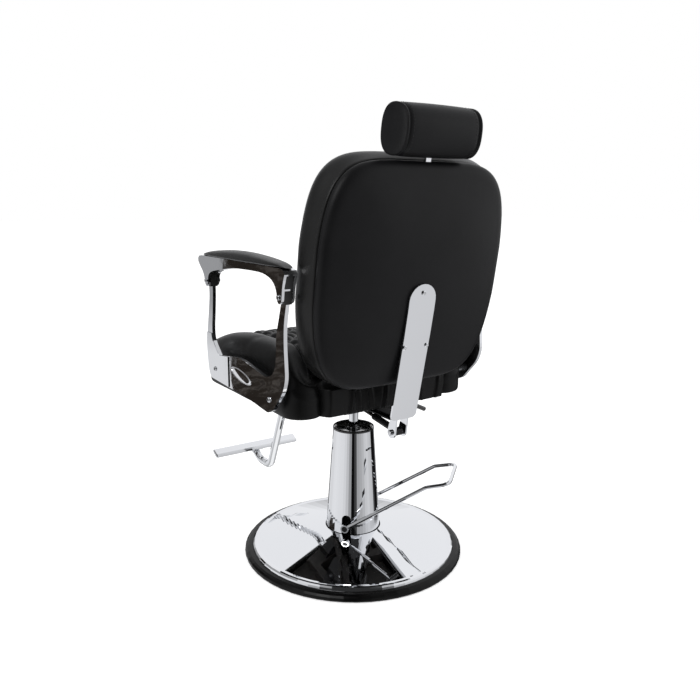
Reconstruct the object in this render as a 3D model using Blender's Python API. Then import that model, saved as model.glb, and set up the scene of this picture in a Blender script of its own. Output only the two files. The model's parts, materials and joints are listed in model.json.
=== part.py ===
"""Hydraulic barber chair with a reclining back, a lifting and turning seat and a foot pump.

Metres, +Z up. The origin is on the floor under the column, the sitter faces -Y, and the
sitter's left is +X. Every piece is its own closed solid; touching pieces keep a 0.3 mm gap.
"""
import math

import bmesh
import bpy
from mathutils import Matrix, Vector

# ---- driving dimensions ------------------------------------------------------------------
GAP = 0.0003                  # clearance between touching pieces
SHANK_RADIUS = 0.0030         # the small bolts and screws
HOLE_RADIUS = 0.0034          # and the holes they pass through

BASE_RADIUS = 0.300           # outside of the rubber ring
DOME_RADIUS = 0.2785          # chrome edge of the base cover
DOME_TOP = 0.0620             # where the dome meets the column cover
COLUMN_FOOT_RADIUS = 0.0742
COLUMN_TOP_RADIUS = 0.0554
COLUMN_TOP = 0.3446
SLOT_RING_Z = 0.1250          # just above the pump shaft's slots, whose tops are at 0.119
PISTON_RADIUS = 0.0132
PISTON_TOP = 0.3965           # seat fully down

LEVER_HEADING = math.radians(41)   # direction of the pump shaft, from +X towards +Y
LEVER_PIVOT_Z = 0.0880
LEVER_ROD_RADIUS = 0.0050
LEVER_EYE_X = 0.0860          # half the distance between the two eyes
LEVER_EYE_HALF = 0.0045
LEVER_SHAFT_RADIUS = 0.0075
LEVER_RISE = math.radians(33)  # slope of the lever's two sides
LEVER_REACH = 0.2140          # from the shaft out to the knee

SEAT_HALF_WIDTH = 0.2720
SEAT_FRONT = -0.3700
SEAT_REAR = 0.1380
SEAT_BOTTOM = 0.4420
SEAT_TOP = 0.6020
SKIRT_TOP = 0.5150            # the wrapped seat box, under the cushion
FRAME_BOTTOM = 0.4440
FRAME_TOP = 0.4900
CHANNEL_HALF_WIDTH = 0.0450
CHANNEL_FLOOR = 0.3970
CHANNEL_STEEL = 0.0045
MOUNT_BOLT_X = 0.0595         # the four bolts between the channel and the seat frame
MOUNT_BOLT_Y = {"front": -0.0900, "rear": 0.0800}

BACK_PIVOT = Vector((0, 0.146, 0.497))
BACK_TILT = math.atan(0.157)  # rearward lean of the back at rest
BACK_REAR = 0.0693            # rear face of the back, in the back's own frame
BACK_FRONT = -0.0420
BACK_HALF_WIDTH = 0.2685
BACK_LOW = 0.0230             # bottom and top edge, measured along the back
BACK_HIGH = 0.5555
BACK_WIDEST = 0.3000
BACK_BARREL = 2.0             # how fast the sides draw in above and below the widest point
CORNER_POWER = 5.6            # larger for tighter corners
PANEL_THICKNESS = 0.0140
PANEL_CROWN = 0.0195          # how far the rear panel bulges at its middle
PLATE_HALF_WIDTH = 0.0385
BRACE_X = 0.1000              # the two uprights inside the back
HINGE_INNER_X = 0.1430        # the two faces of a hinge bracket
HINGE_OUTER_X = 0.1490
HINGE_PIN_RADIUS = 0.0040
CLEVIS_EAR_X = 0.0170
CLEVIS_EAR_HALF = 0.0023

CLEVIS_PIN = Vector((0, 0.192, 0.388))   # where the strut meets the back plate
STRUT_ANCHOR = Vector((0, -0.115, 0.430))
STRUT_PIN_RADIUS = 0.0040
STRUT_EYE_CLEARANCE = 0.0036  # play at the pivot where the linkage is opened
RECLINE_LEVER_PIVOT = Vector((-0.0570, 0.0500, 0.4240))

ARM_CENTRE = 0.2980           # centre plane of an arm, from the chair's centre
ARM_HALF_WIDTH = 0.0165
ARM_PLATE_OUTER = 0.3025
ARM_PLATE_INNER = 0.2935
FORK_HALF_SLOT = 0.0100
FORK_FRONT_Y = -0.2270
FORK_REAR_Y = 0.1680
FORK_BOLT_Z = 0.7420
RAIL_TOP = 0.8060
ARM_SCREWS = ((-0.2100, 0.5065), (0.0910, 0.4920))

HEAD_CENTRE = Vector((0, 0.0535, 0.6150))   # in the back's own frame
HEAD_SIZE = Vector((0.2080, 0.0930, 0.1090))

FOOT_TUBE_RADIUS = 0.0125
FOOT_BAR_HALF = 0.1530

FINISHES = {
    "chrome": ((0.80, 0.81, 0.83), 0.08, 1.0),
    "leather": ((0.018, 0.018, 0.020), 0.45, 0.0),
    "black_steel": ((0.020, 0.020, 0.022), 0.40, 0.6),
    "black_plastic": ((0.012, 0.012, 0.012), 0.35, 0.0),
    "rubber": ((0.010, 0.010, 0.010), 0.30, 0.0),
    "steel": ((0.45, 0.46, 0.48), 0.30, 1.0),
    "plywood": ((0.48, 0.33, 0.19), 0.70, 0.0),
}


# ---- shape helpers -----------------------------------------------------------------------
def axes_empty(name, place, matrix=None, parent=None):
    """An empty on a joint's axis; the pieces of one moving body hang from it."""
    empty = bpy.data.objects.new(name, None)
    bpy.context.scene.collection.objects.link(empty)
    empty.empty_display_size = 0.05
    empty.parent = parent
    bpy.context.view_layer.update()
    empty.matrix_world = Matrix.Translation(place) @ (matrix or Matrix())
    bpy.context.view_layer.update()
    return empty


def finish_material(name, finish):
    colour, roughness, metallic = FINISHES[finish]
    material = bpy.data.materials.new(name + "_finish")
    material.use_nodes = True
    shader = material.node_tree.nodes["Principled BSDF"]
    shader.inputs["Base Color"].default_value = (*colour, 1)
    shader.inputs["Roughness"].default_value = roughness
    shader.inputs["Metallic"].default_value = metallic
    return material


def add_piece(name, bm, finish, body=None, smooth=35):
    """Turns a bmesh in world coordinates into a named piece that hangs from its body's empty."""
    bmesh.ops.remove_doubles(bm, verts=bm.verts, dist=1e-6)
    bmesh.ops.recalc_face_normals(bm, faces=bm.faces)
    if body is not None:
        bm.transform(body.matrix_world.inverted())
    mesh = bpy.data.meshes.new(name)
    bm.to_mesh(mesh)
    bm.free()
    mesh.shade_smooth()
    mesh.set_sharp_from_angle(angle=math.radians(smooth))
    mesh.materials.append(finish_material(name, finish))
    piece = bpy.data.objects.new(name, mesh)
    bpy.context.scene.collection.objects.link(piece)
    piece.parent = body
    return piece


def combine(piece, bm, operation="DIFFERENCE"):
    """Cuts or joins a bmesh in world coordinates from or to a piece, as a live modifier."""
    bmesh.ops.remove_doubles(bm, verts=bm.verts, dist=1e-6)
    bmesh.ops.recalc_face_normals(bm, faces=bm.faces)
    mesh = bpy.data.meshes.new(piece.name + "_tool")
    bm.to_mesh(mesh)
    bm.free()
    tool = bpy.data.objects.new(piece.name + "_tool", mesh)
    bpy.context.scene.collection.objects.link(tool)
    tool.hide_render = True
    tool.display_type = "WIRE"
    modifier = piece.modifiers.new(operation.lower(), "BOOLEAN")
    modifier.operation = operation
    modifier.solver = "EXACT"
    modifier.object = tool


def soften(piece, width, segments=1, angle=30):
    modifier = piece.modifiers.new("edges", "BEVEL")
    modifier.width = width
    modifier.segments = segments
    modifier.limit_method = "ANGLE"
    modifier.angle_limit = math.radians(angle)


def turned(profile, steps=48, closed=True):
    """Spins an (r, z) profile about Z. An open profile starts and ends on the axis."""
    bm = bmesh.new()
    ring = [bm.verts.new((r, 0, z)) for r, z in profile]
    edges = [bm.edges.new(pair) for pair in zip(ring, ring[1:])]
    if closed:
        edges.append(bm.edges.new((ring[-1], ring[0])))
    bmesh.ops.spin(bm, geom=ring + edges, cent=(0, 0, 0), axis=(0, 0, 1), angle=2 * math.pi,
                   steps=steps, use_merge=True)
    bmesh.ops.remove_doubles(bm, verts=bm.verts, dist=1e-6)
    return bm


def rod(start, end, radius, sides=16):
    """A plain cylinder between two points."""
    start, end = Vector(start), Vector(end)
    bm = bmesh.new()
    bmesh.ops.create_cone(bm, cap_ends=True, segments=sides, radius1=radius, radius2=radius,
                          depth=(end - start).length)
    turn = Vector((0, 0, 1)).rotation_difference(end - start).to_matrix().to_4x4()
    bm.transform(Matrix.Translation((start + end) / 2) @ turn)
    return bm


def block(low, high):
    low, high = Vector(low), Vector(high)
    bm = bmesh.new()
    size = high - low
    bmesh.ops.create_cube(bm, size=1)
    bm.transform(Matrix.Translation((low + high) / 2) @ Matrix.Diagonal((*size, 1)))
    return bm


def prism(outline, low, high, along="X"):
    """Extrudes a 2-D outline: (y, z) along X, (x, z) along Y or (x, y) along Z."""
    spread = {"X": lambda p, t: (t, p[0], p[1]),
              "Y": lambda p, t: (p[0], t, p[1]),
              "Z": lambda p, t: (p[0], p[1], t)}[along]
    bm = bmesh.new()
    face = bm.faces.new([bm.verts.new(spread(p, low)) for p in outline])
    extruded = bmesh.ops.extrude_face_region(bm, geom=[face])
    step = Vector(spread((0, 0), high)) - Vector(spread((0, 0), low))
    moved = [item for item in extruded["geom"] if isinstance(item, bmesh.types.BMVert)]
    bmesh.ops.translate(bm, vec=step, verts=moved)
    return bm


def loft(sections):
    """Skins a row of closed sections that all have the same number of points."""
    bm = bmesh.new()
    rings = [[bm.verts.new(point) for point in section] for section in sections]
    count = len(rings[0])
    for ring, following in zip(rings, rings[1:]):
        for i in range(count):
            j = (i + 1) % count
            bm.faces.new((ring[i], ring[j], following[j], following[i]))
    bm.faces.new(rings[0])
    bm.faces.new(list(reversed(rings[-1])))
    return bm


def tube_along(path, radii, normal, sides):
    """A bent tube through a path, with a radius for each point; `normal` steadies its sections."""
    sections = []
    for i, (point, radius) in enumerate(zip(path, radii)):
        ahead = path[min(i + 1, len(path) - 1)] - point
        behind = point - path[max(i - 1, 0)]
        direction = (ahead.normalized() + behind.normalized()).normalized()
        across = direction.cross(normal).normalized()
        upward = across.cross(direction)
        sections.append([point + across * u + upward * v for u, v in circle(radius, sides)])
    return loft(sections)


def circle(radius, sides=12, centre=(0, 0), start=0.0, sweep_angle=2 * math.pi, closed=True):
    steps = sides if closed else sides - 1
    return [(centre[0] + radius * math.cos(start + sweep_angle * i / steps),
             centre[1] + radius * math.sin(start + sweep_angle * i / steps))
            for i in range(sides)]


def filleted(points, radius, steps=5):
    """A polyline with its inner corners rounded by arcs of one radius."""
    points = [Vector(point) for point in points]
    path = [points[0]]
    for before, corner, after in zip(points, points[1:], points[2:]):
        back = (before - corner).normalized()
        on = (after - corner).normalized()
        half = back.angle(on) / 2
        reach = min(radius / math.tan(half), (before - corner).length * 0.49,
                    (after - corner).length * 0.49)
        first, last = corner + back * reach, corner + on * reach
        centre = corner + (back + on).normalized() * (reach / math.cos(half))
        for i in range(steps + 1):
            blend = first.lerp(last, i / steps) - centre
            path.append(centre + blend.normalized() * (first - centre).length)
    path.append(points[-1])
    return path


def curve_through(points, steps=3):
    """A smooth open stretch of outline through a few points (Catmull-Rom)."""
    points = [Vector(point) for point in points]
    padded = [2 * points[0] - points[1]] + points + [2 * points[-1] - points[-2]]
    stretch = []
    for a, b, c, d in zip(padded, padded[1:], padded[2:], padded[3:]):
        for i in range(steps):
            t = i / steps
            stretch.append(0.5 * (2 * b + (c - a) * t + (2 * a - 5 * b + 4 * c - d) * t * t
                                  + (3 * b - a - 3 * c + d) * t * t * t))
    stretch.append(points[-1])
    return [tuple(point) for point in stretch]


def mirrored(bm):
    bm.transform(Matrix.Diagonal((-1, 1, 1, 1)))
    return bm


def back_outline(sides=56):
    """The back's outline: tight corners between sides that bulge like a barrel's."""
    outline = []
    for i in range(sides):
        angle = 2 * math.pi * (i + 0.5) / sides
        cosine, sine = math.cos(angle), math.sin(angle)
        height = BACK_HIGH - BACK_WIDEST if sine > 0 else BACK_WIDEST - BACK_LOW
        rise = height * math.copysign(abs(sine) ** (2 / CORNER_POWER), sine)
        across = BACK_HALF_WIDTH * (1 - BACK_BARREL * rise ** 2)
        outline.append((across * math.copysign(abs(cosine) ** (2 / CORNER_POWER), cosine),
                        BACK_WIDEST + rise))
    return outline


def back_frame_matrix():
    return Matrix.Translation(BACK_PIVOT) @ Matrix.Rotation(-BACK_TILT, 4, "X")


def leaning(bm):
    """Moves a bmesh from the back's own frame to world coordinates at rest."""
    bm.transform(back_frame_matrix())
    return bm


# ---- base and column ---------------------------------------------------------------------
def build_base():
    plate = turned([(0, 0), (0.2630, 0), (0.2640, 0.0060), (0, 0.0060)], closed=False)
    add_piece("base_plate", plate, "black_steel")

    ring = [(0.2645, 0), (0.2960, 0), (0.2990, 0.0020), (BASE_RADIUS, 0.0055), (0.2992, 0.0110),
            (0.2955, 0.0155), (0.2895, 0.0180), (0.2815, 0.0188), (0.2792, 0.0186),
            (0.2792, 0.0125), (0.2645, 0.0125)]
    add_piece("rubber_ring", turned(ring, 56), "rubber")

    wall = 0.0025
    top = [(0.0765, DOME_TOP + 0.0038), (0.2600, 0.0262), (0.2640, 0.0260), (0.2690, 0.0272),
           (0.2735, 0.0262), (0.2770, 0.0230), (DOME_RADIUS, 0.0185), (DOME_RADIUS, 0.0130)]
    under = [(DOME_RADIUS - wall, 0.0130), (DOME_RADIUS - wall, 0.0180), (0.2740, 0.0215),
             (0.2690, 0.0240), (0.2600, 0.0236), (0.0765, DOME_TOP + 0.0010)]
    add_piece("base_dome", turned(top + under, 56), "chrome")


def build_pump():
    flange_top = 0.0180
    body = [(0, 0.0063), (0.0700, 0.0063), (0.0700, flange_top), (0.0480, flange_top),
            (0.0480, 0.1180), (0.0380, 0.1240), (0.0380, 0.3250), (PISTON_RADIUS + GAP, 0.3250),
            (PISTON_RADIUS + GAP, 0.1260), (0, 0.1260)]
    pump = add_piece("pump_body", turned(body, 28, closed=False), "black_steel")
    heading = Vector((math.cos(LEVER_HEADING), math.sin(LEVER_HEADING), 0))
    centre = Vector((0, 0, LEVER_PIVOT_Z))
    combine(pump, rod(centre - heading * 0.06, centre + heading * 0.06, 0.0086))

    gland = [(PISTON_RADIUS + GAP, 0.3253), (0.0300, 0.3253), (0.0300, 0.3360),
             (0.0240, 0.3400), (PISTON_RADIUS + GAP, 0.3400)]
    add_piece("gland_nut", turned(gland, 24), "steel")


def build_column():
    wall = 0.0026
    taper = (COLUMN_FOOT_RADIUS - COLUMN_TOP_RADIUS) / (COLUMN_TOP - DOME_TOP)
    # a ring just above the slots keeps the long faces over it whole; it stands out by 0.02 mm
    ring = (COLUMN_FOOT_RADIUS - taper * (SLOT_RING_Z - DOME_TOP) + 0.00002, SLOT_RING_Z)
    outer = [(COLUMN_FOOT_RADIUS, DOME_TOP + 0.0002), ring, (COLUMN_TOP_RADIUS, COLUMN_TOP)]
    inner = [(COLUMN_TOP_RADIUS - wall, COLUMN_TOP), (COLUMN_FOOT_RADIUS - wall, DOME_TOP + 0.0002)]
    cover = add_piece("column_cover", turned(outer + inner, 56), "chrome")
    slot = [(-0.0130, 0.0500), (0.0130, 0.0500)]
    slot += circle(0.0130, 9, (0, 0.1060), 0, math.pi, closed=False)
    cutter = prism(slot, -0.1, 0.1, "Y")
    cutter.transform(Matrix.Rotation(LEVER_HEADING - math.pi / 2, 4, "Z"))
    combine(cover, cutter)

    rim = COLUMN_TOP_RADIUS
    cap = [(rim + 0.0009, COLUMN_TOP + GAP), (rim + 0.0012, 0.3492), (rim - 0.0012, 0.3516),
           (rim - 0.0046, 0.3500), (rim - 0.0080, 0.3462), (0.0215, 0.3440), (0.0200, 0.3462),
           (0.0165, 0.3462), (0.0150, 0.3440), (0.0150, 0.3412), (rim - wall - 0.0008, 0.3412),
           (rim - wall - 0.0008, COLUMN_TOP + GAP)]
    add_piece("column_cap", turned(cap, 48), "black_plastic")


def build_pump_lever(body):
    """Modelled along local X (the shaft) and +Y (outwards), then turned to its heading."""
    place = body.matrix_world
    reach = LEVER_EYE_X + LEVER_EYE_HALF
    shaft = rod((-reach, 0, 0), (reach, 0, 0), LEVER_SHAFT_RADIUS, 20)
    shaft.transform(place)
    add_piece("pump_shaft", shaft, "steel", body)

    start = Vector((LEVER_EYE_X, 0.0085, 0.0085 * math.tan(LEVER_RISE)))
    knee = Vector((0.0780, LEVER_REACH, LEVER_REACH * math.tan(LEVER_RISE)))
    tip = Vector((0.0740, knee.y + 0.0590, knee.z + 0.0140))
    route = [start, knee, tip]
    route += [Vector((-point.x, point.y, point.z)) for point in reversed(route)]
    path = filleted(route, 0.022, 5)
    side_up = Vector((0, -math.sin(LEVER_RISE), math.cos(LEVER_RISE)))
    lever = tube_along(path, [LEVER_ROD_RADIUS] * len(path), side_up, 10)
    lever.transform(place)
    piece = add_piece("pump_lever", lever, "chrome", body)
    for side in (-1, 1):
        eye = rod((side * (LEVER_EYE_X - LEVER_EYE_HALF), 0, 0), (side * reach, 0, 0), 0.0112, 20)
        eye.transform(place)
        combine(piece, eye, "UNION")
    bore = rod((-0.1060, 0, 0), (0.1060, 0, 0), LEVER_SHAFT_RADIUS + GAP, 20)
    bore.transform(place)
    combine(piece, bore)


# ---- seat --------------------------------------------------------------------------------
def build_lift(piston, seat):
    rod_profile = [(0, 0.1300), (PISTON_RADIUS - 0.0015, 0.1300), (PISTON_RADIUS, 0.1320),
                   (PISTON_RADIUS, PISTON_TOP - 0.0015), (PISTON_RADIUS - 0.0015, PISTON_TOP),
                   (0, PISTON_TOP)]
    add_piece("piston_rod", turned(rod_profile, 32, closed=False), "chrome", piston)

    outer, inner = CHANNEL_HALF_WIDTH, CHANNEL_HALF_WIDTH - CHANNEL_STEEL
    under = CHANNEL_FLOOR - CHANNEL_STEEL
    channel = [(-0.0720, 0.4437), (-0.0720, 0.4397), (-outer, 0.4397), (-outer, under),
               (outer, under), (outer, 0.4397), (0.0720, 0.4397), (0.0720, 0.4437),
               (inner, 0.4437), (inner, CHANNEL_FLOOR), (-inner, CHANNEL_FLOOR),
               (-inner, 0.4437)]
    piece = add_piece("recline_channel", prism(channel, -0.1400, 0.1300, "Y"), "black_steel", seat)
    combine(piece, block((-0.08, 0.1074, 0.4392), (0.08, 0.14, 0.45)))
    combine(piece, block((-0.0300, 0.0225, 0.38), (0.0300, 0.14, 0.41)))
    # the left wall is cut away behind the piston, which leaves the piston in view
    combine(piece, block((inner - 0.0110, 0.0225, 0.38), (outer + 0.0050, 0.14, 0.4290)))
    combine(piece, rod((0, 0, 0.3600), (0, 0, 0.4100), PISTON_RADIUS + GAP, 32))
    profile = [(0, 0.4335), (0.0062, 0.4335), (0.0066, 0.4342), (0.0066, 0.4394),
               (SHANK_RADIUS, 0.4394), (SHANK_RADIUS, 0.4560), (0, 0.4560)]
    for side, x in (("right", -MOUNT_BOLT_X), ("left", MOUNT_BOLT_X)):
        for end, y in MOUNT_BOLT_Y.items():
            combine(piece, rod((x, y, 0.43), (x, y, 0.45), HOLE_RADIUS, 10))
            bolt = turned(profile, 12, closed=False)
            bolt.transform(Matrix.Translation((x, y, 0)))
            add_piece(f"mount_bolt_{end}_{side}", bolt, "steel", seat)
    pivot = RECLINE_LEVER_PIVOT
    combine(piece, block((pivot.x - 0.0060, pivot.y + 0.0065, pivot.z - 0.0070),
                         (-outer + 0.0010, pivot.y + 0.0100, pivot.z + 0.0060)), "UNION")
    combine(piece, rod(pivot - Vector((0, 0.0090, 0)), pivot + Vector((0, 0.0080, 0)), 0.0033, 12),
            "UNION")
    cross = (STRUT_ANCHOR.y, STRUT_ANCHOR.z)
    combine(piece, rod((-0.06, *cross), (0.06, *cross), STRUT_PIN_RADIUS + GAP, 12))
    pin = rod((-0.0500, *cross), (0.0500, *cross), STRUT_PIN_RADIUS, 12)
    add_piece("strut_pin", pin, "steel", seat)


def build_seat(seat):
    side_wall = SEAT_HALF_WIDTH - 0.0160
    frame = add_piece("seat_frame", block((-side_wall + GAP, -0.1030, FRAME_BOTTOM),
                                          (side_wall - GAP, -0.0770, FRAME_TOP)),
                      "plywood", seat)
    combine(frame, block((-side_wall + GAP, 0.0660, FRAME_BOTTOM),
                         (side_wall - GAP, 0.0920, FRAME_TOP)), "UNION")
    for x in (-MOUNT_BOLT_X, MOUNT_BOLT_X):
        combine(frame, block((x - 0.0125, -0.3050, FRAME_BOTTOM),
                             (x + 0.0125, 0.0900, FRAME_TOP - 0.0010)), "UNION")
        for y in MOUNT_BOLT_Y.values():
            combine(frame, rod((x, y, 0.43), (x, y, 0.4580), HOLE_RADIUS, 10))
    combine(frame, block((-0.0700, -0.3200, FRAME_BOTTOM), (0.0700, -0.2050, FRAME_TOP - 0.0020)),
            "UNION")

    board = add_piece("seat_board", block((-side_wall + GAP, -0.3400, FRAME_TOP + GAP),
                                          (side_wall - GAP, 0.1070, 0.5020)), "plywood", seat)
    soften(board, 0.002)

    plan = rounded_plan(SEAT_HALF_WIDTH, SEAT_FRONT + 0.0080, SEAT_REAR, 0.045)
    skirt = add_piece("seat_skirt", prism(plan, SEAT_BOTTOM, SKIRT_TOP, "Z"), "leather", seat)
    combine(skirt, block((-side_wall, -0.3450, 0.40), (side_wall, 0.1080, 0.60)))
    combine(skirt, block((-0.1780, 0.1240, 0.40), (0.1780, 0.2000, 0.60)))
    for side in (-1, 1):
        combine(skirt, block((side * 0.1460 - 0.0040, 0.10, 0.40),
                             (side * 0.1460 + 0.0040, 0.13, 0.5085)))
        for y, z in ARM_SCREWS:
            combine(skirt, rod((side * 0.2590, y, z), (side * 0.29, y, z), HOLE_RADIUS, 10))

    plan = rounded_plan(SEAT_HALF_WIDTH, SEAT_FRONT, 0.1000, 0.050)
    cushion = add_piece("seat_cushion", prism(plan, SKIRT_TOP + 0.0005, SEAT_TOP, "Z"),
                        "leather", seat)
    soften(cushion, 0.022, 3, 60)

    low, high = SEAT_BOTTOM + 0.0010, 0.4900
    flap = [(-0.1760, 0.1245), (-0.1760, 0.1600), (0.1760, 0.1600), (0.1760, 0.1245),
            (0.1735, 0.1245), (0.1735, 0.1575), (-0.1735, 0.1575), (-0.1735, 0.1245)]
    add_piece("rear_flap", prism(flap, low, high, "Z"), "leather", seat)


def rounded_plan(half_width, front, rear, radius, steps=6):
    """A rounded rectangle in plan."""
    corners = ((half_width - radius, rear - radius, 0), (radius - half_width, rear - radius, 1),
               (radius - half_width, front + radius, 2), (half_width - radius, front + radius, 3))
    outline = []
    for x, y, quarter in corners:
        outline += circle(radius, steps, (x, y), quarter * math.pi / 2, math.pi / 2, closed=False)
    return outline


# ---- arms --------------------------------------------------------------------------------
def casting_outline():
    """The side casting in (y, z): front post, side panel and rear post."""
    front_edge = curve_through([(-0.2390, 0.7265), (-0.2385, 0.7000), (-0.2460, 0.6600),
                                (-0.2590, 0.6050), (-0.2640, 0.5700), (-0.2610, 0.5300),
                                (-0.2540, 0.4940), (-0.2430, 0.4765)])
    bottom = curve_through([(-0.2380, 0.4755), (-0.1270, 0.4720), (-0.0170, 0.4680),
                            (0.0450, 0.4620), (0.0780, 0.4590)], 2)
    rear_edge = curve_through([(0.0850, 0.4595), (0.1080, 0.4700), (0.1300, 0.4940),
                               (0.1560, 0.5230), (0.1690, 0.5550), (0.1690, 0.5850),
                               (0.1660, 0.6300), (0.1680, 0.6800), (0.1790, 0.7265)])
    inner_rear = curve_through([(0.1560, 0.7265), (0.1440, 0.6900), (0.1310, 0.6500),
                                (0.1290, 0.6150), (0.1230, 0.5770), (0.1080, 0.5560),
                                (0.0840, 0.5460), (0.0590, 0.5450), (0.0140, 0.5520),
                                (-0.0300, 0.5590), (-0.0710, 0.5620), (-0.1200, 0.5570)], 2)
    inner_front = curve_through([(-0.1290, 0.5550), (-0.1830, 0.5490), (-0.1960, 0.5560),
                                 (-0.2210, 0.5810), (-0.2280, 0.6100), (-0.2220, 0.6550),
                                 (-0.2165, 0.7000), (-0.2155, 0.7265)], 3)
    return front_edge + bottom + rear_edge + inner_rear + inner_front


def front_pad_outline():
    """The raised front corner of the side casting, in (y, z)."""
    front = curve_through([(-0.2580, 0.6000), (-0.2615, 0.5700), (-0.2585, 0.5300),
                           (-0.2515, 0.4940), (-0.2410, 0.4790)], 2)
    inner = curve_through([(-0.1300, 0.4735), (-0.1300, 0.5535)], 1)
    upper = curve_through([(-0.1840, 0.5475), (-0.1975, 0.5550), (-0.2225, 0.5800),
                           (-0.2300, 0.6000)], 2)
    return front + inner + upper


def rail_outline():
    """The upper casting in (y, z): nose, top, rear leg, underside and front fork leg."""
    rear_leg = curve_through([(0.1950, 0.7935), (0.1890, 0.7800), (0.1840, 0.7620),
                              (0.1815, 0.7450), (0.1790, 0.7340), (0.1700, 0.7275),
                              (0.1605, 0.7335), (0.1580, 0.7500), (0.1510, 0.7650),
                              (0.1350, 0.7780), (0.1070, 0.7865), (0.0720, 0.7900),
                              (0.0030, 0.7895), (-0.0600, 0.7870), (-0.1250, 0.7790),
                              (-0.1850, 0.7700), (-0.2080, 0.7610), (-0.2155, 0.7500),
                              (-0.2165, 0.7380), (-0.2270, 0.7275), (-0.2375, 0.7375),
                              (-0.2395, 0.7500), (-0.2480, 0.7640), (-0.2660, 0.7790),
                              (-0.2770, 0.7900)], 2)
    top = [(-0.2770, 0.7980), (-0.2700, 0.8040), (-0.2550, RAIL_TOP), (0.1720, RAIL_TOP),
           (0.1890, 0.8020)]
    return rear_leg + top


def pad_sections():
    """Cross-sections of the arm pad, crowned along its length and across its width."""
    start, end, crown = -0.2660, 0.1930, 0.0205
    sections = []
    for i in range(13):
        t = i / 12
        bulge = math.sin(math.pi * t) ** 0.55 if 0 < t < 1 else 0
        y = start + (end - start) * (0.5 - 0.5 * math.cos(math.pi * t))
        half = 0.0060 + 0.0190 * bulge
        height = 0.0015 + crown * math.sin(math.pi * (0.5 - 0.5 * math.cos(math.pi * t))) ** 0.75
        base = RAIL_TOP + GAP
        arch = [(ARM_CENTRE + half * math.cos(a), y, base + 0.0012 + height * math.sin(a) ** 0.8)
                for a in [math.pi * k / 8 for k in range(9)]]
        foot = [(ARM_CENTRE - half * 0.94, y, base), (ARM_CENTRE + half * 0.94, y, base)]
        sections.append(arch + foot)
    return sections


def rear_slot(front, bridge, rear):
    """The slot in the rail's rear leg in (y, z); a thin bridge of the rail crosses it."""
    low, bridge_low, bridge_high, high = 0.7000, 0.7570, 0.7610, 0.7900
    return [(front, low), (rear, low), (rear, bridge_low), (bridge, bridge_low),
            (bridge, bridge_high), (rear, bridge_high), (rear, high), (front, high)]


def rear_block():
    """The black insert in the rear slot, notched round the bridge."""
    return [(0.1575, 0.7268), (0.1795, 0.7268), (0.1795, 0.7567), (0.1697, 0.7567),
            (0.1697, 0.7613), (0.1860, 0.7613), (0.1880, 0.7750), (0.1880, 0.7897),
            (0.1600, 0.7897), (0.1575, 0.7700)]


def build_arm(seat, side):
    """One arm; the right arm is the left one mirrored."""
    label = "left" if side > 0 else "right"
    place = (lambda bm: bm) if side > 0 else mirrored

    lower = add_piece(f"arm_casting_{label}",
                      place(prism(casting_outline(), ARM_PLATE_INNER, ARM_PLATE_OUTER)),
                      "chrome", seat)
    combine(lower, place(prism(front_pad_outline(), ARM_PLATE_OUTER - 0.002,
                               ARM_PLATE_OUTER + 0.0025)), "UNION")
    for y, z in ARM_SCREWS:
        combine(lower, place(rod((SEAT_HALF_WIDTH + GAP, y, z), (ARM_PLATE_INNER + 0.001, y, z),
                                 0.0110)), "UNION")
        combine(lower, place(rod((0.26, y, z), (0.31, y, z), HOLE_RADIUS, 10)))

    upper = add_piece(f"arm_rail_{label}",
                      place(prism(rail_outline(), ARM_CENTRE - ARM_HALF_WIDTH,
                                  ARM_CENTRE + ARM_HALF_WIDTH)), "chrome", seat)
    slot = (ARM_CENTRE - FORK_HALF_SLOT, ARM_CENTRE + FORK_HALF_SLOT)
    combine(upper, place(block((slot[0], -0.2600, 0.70), (slot[1], -0.2050, 0.7680))))
    combine(upper, place(prism(rear_slot(0.1400, 0.1700, 0.2100), *slot)))
    for y in (FORK_FRONT_Y, FORK_REAR_Y):
        combine(upper, place(rod((0.27, y, FORK_BOLT_Z), (0.33, y, FORK_BOLT_Z), HOLE_RADIUS, 12)))

    pad = add_piece(f"arm_pad_{label}", place(loft(pad_sections())), "leather", seat)
    pad.data.shade_smooth()

    front_block = [(-0.2385, 0.7268), (-0.2155, 0.7268), (-0.2155, 0.7677), (-0.2385, 0.7677)]
    inner, outer = slot[0] + GAP, slot[1] - GAP
    for end, outline in (("front", front_block), ("rear", rear_block())):
        y = FORK_FRONT_Y if end == "front" else FORK_REAR_Y
        spacer = add_piece(f"fork_block_{end}_{label}",
                           place(prism(outline, inner, outer)), "black_plastic", seat)
        hole = rod((0.27, y, FORK_BOLT_Z), (0.33, y, FORK_BOLT_Z), HOLE_RADIUS, 12)
        combine(spacer, place(hole))
        bolt = turned([(0, -0.0208), (0.0052, -0.0208), (0.0058, -0.0200), (0.0058, -0.0169),
                       (SHANK_RADIUS, -0.0169), (SHANK_RADIUS, 0.0169), (0.0058, 0.0169),
                       (0.0058, 0.0192), (0.0046, 0.0204), (0, 0.0208)], 12, closed=False)
        bolt.transform(Matrix.Translation((ARM_CENTRE, y, FORK_BOLT_Z))
                       @ Matrix.Rotation(math.pi / 2, 4, "Y"))
        add_piece(f"fork_bolt_{end}_{label}", place(bolt), "steel", seat)

    for end, (y, z) in zip(("front", "rear"), ARM_SCREWS):
        face = ARM_PLATE_OUTER + (0.0025 if end == "front" else 0) + GAP
        shank = [(0, 0.2600 - face), (SHANK_RADIUS, 0.2600 - face), (SHANK_RADIUS, 0)]
        head = [(0.0066, 0), (0.0064, 0.0012), (0.0046, 0.0030), (0, 0.0036)]
        screw = turned(shank + head, 12, closed=False)
        screw.transform(Matrix.Translation((face, y, z)) @ Matrix.Rotation(math.pi / 2, 4, "Y"))
        add_piece(f"arm_screw_{end}_{label}", place(screw), "steel", seat)


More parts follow.
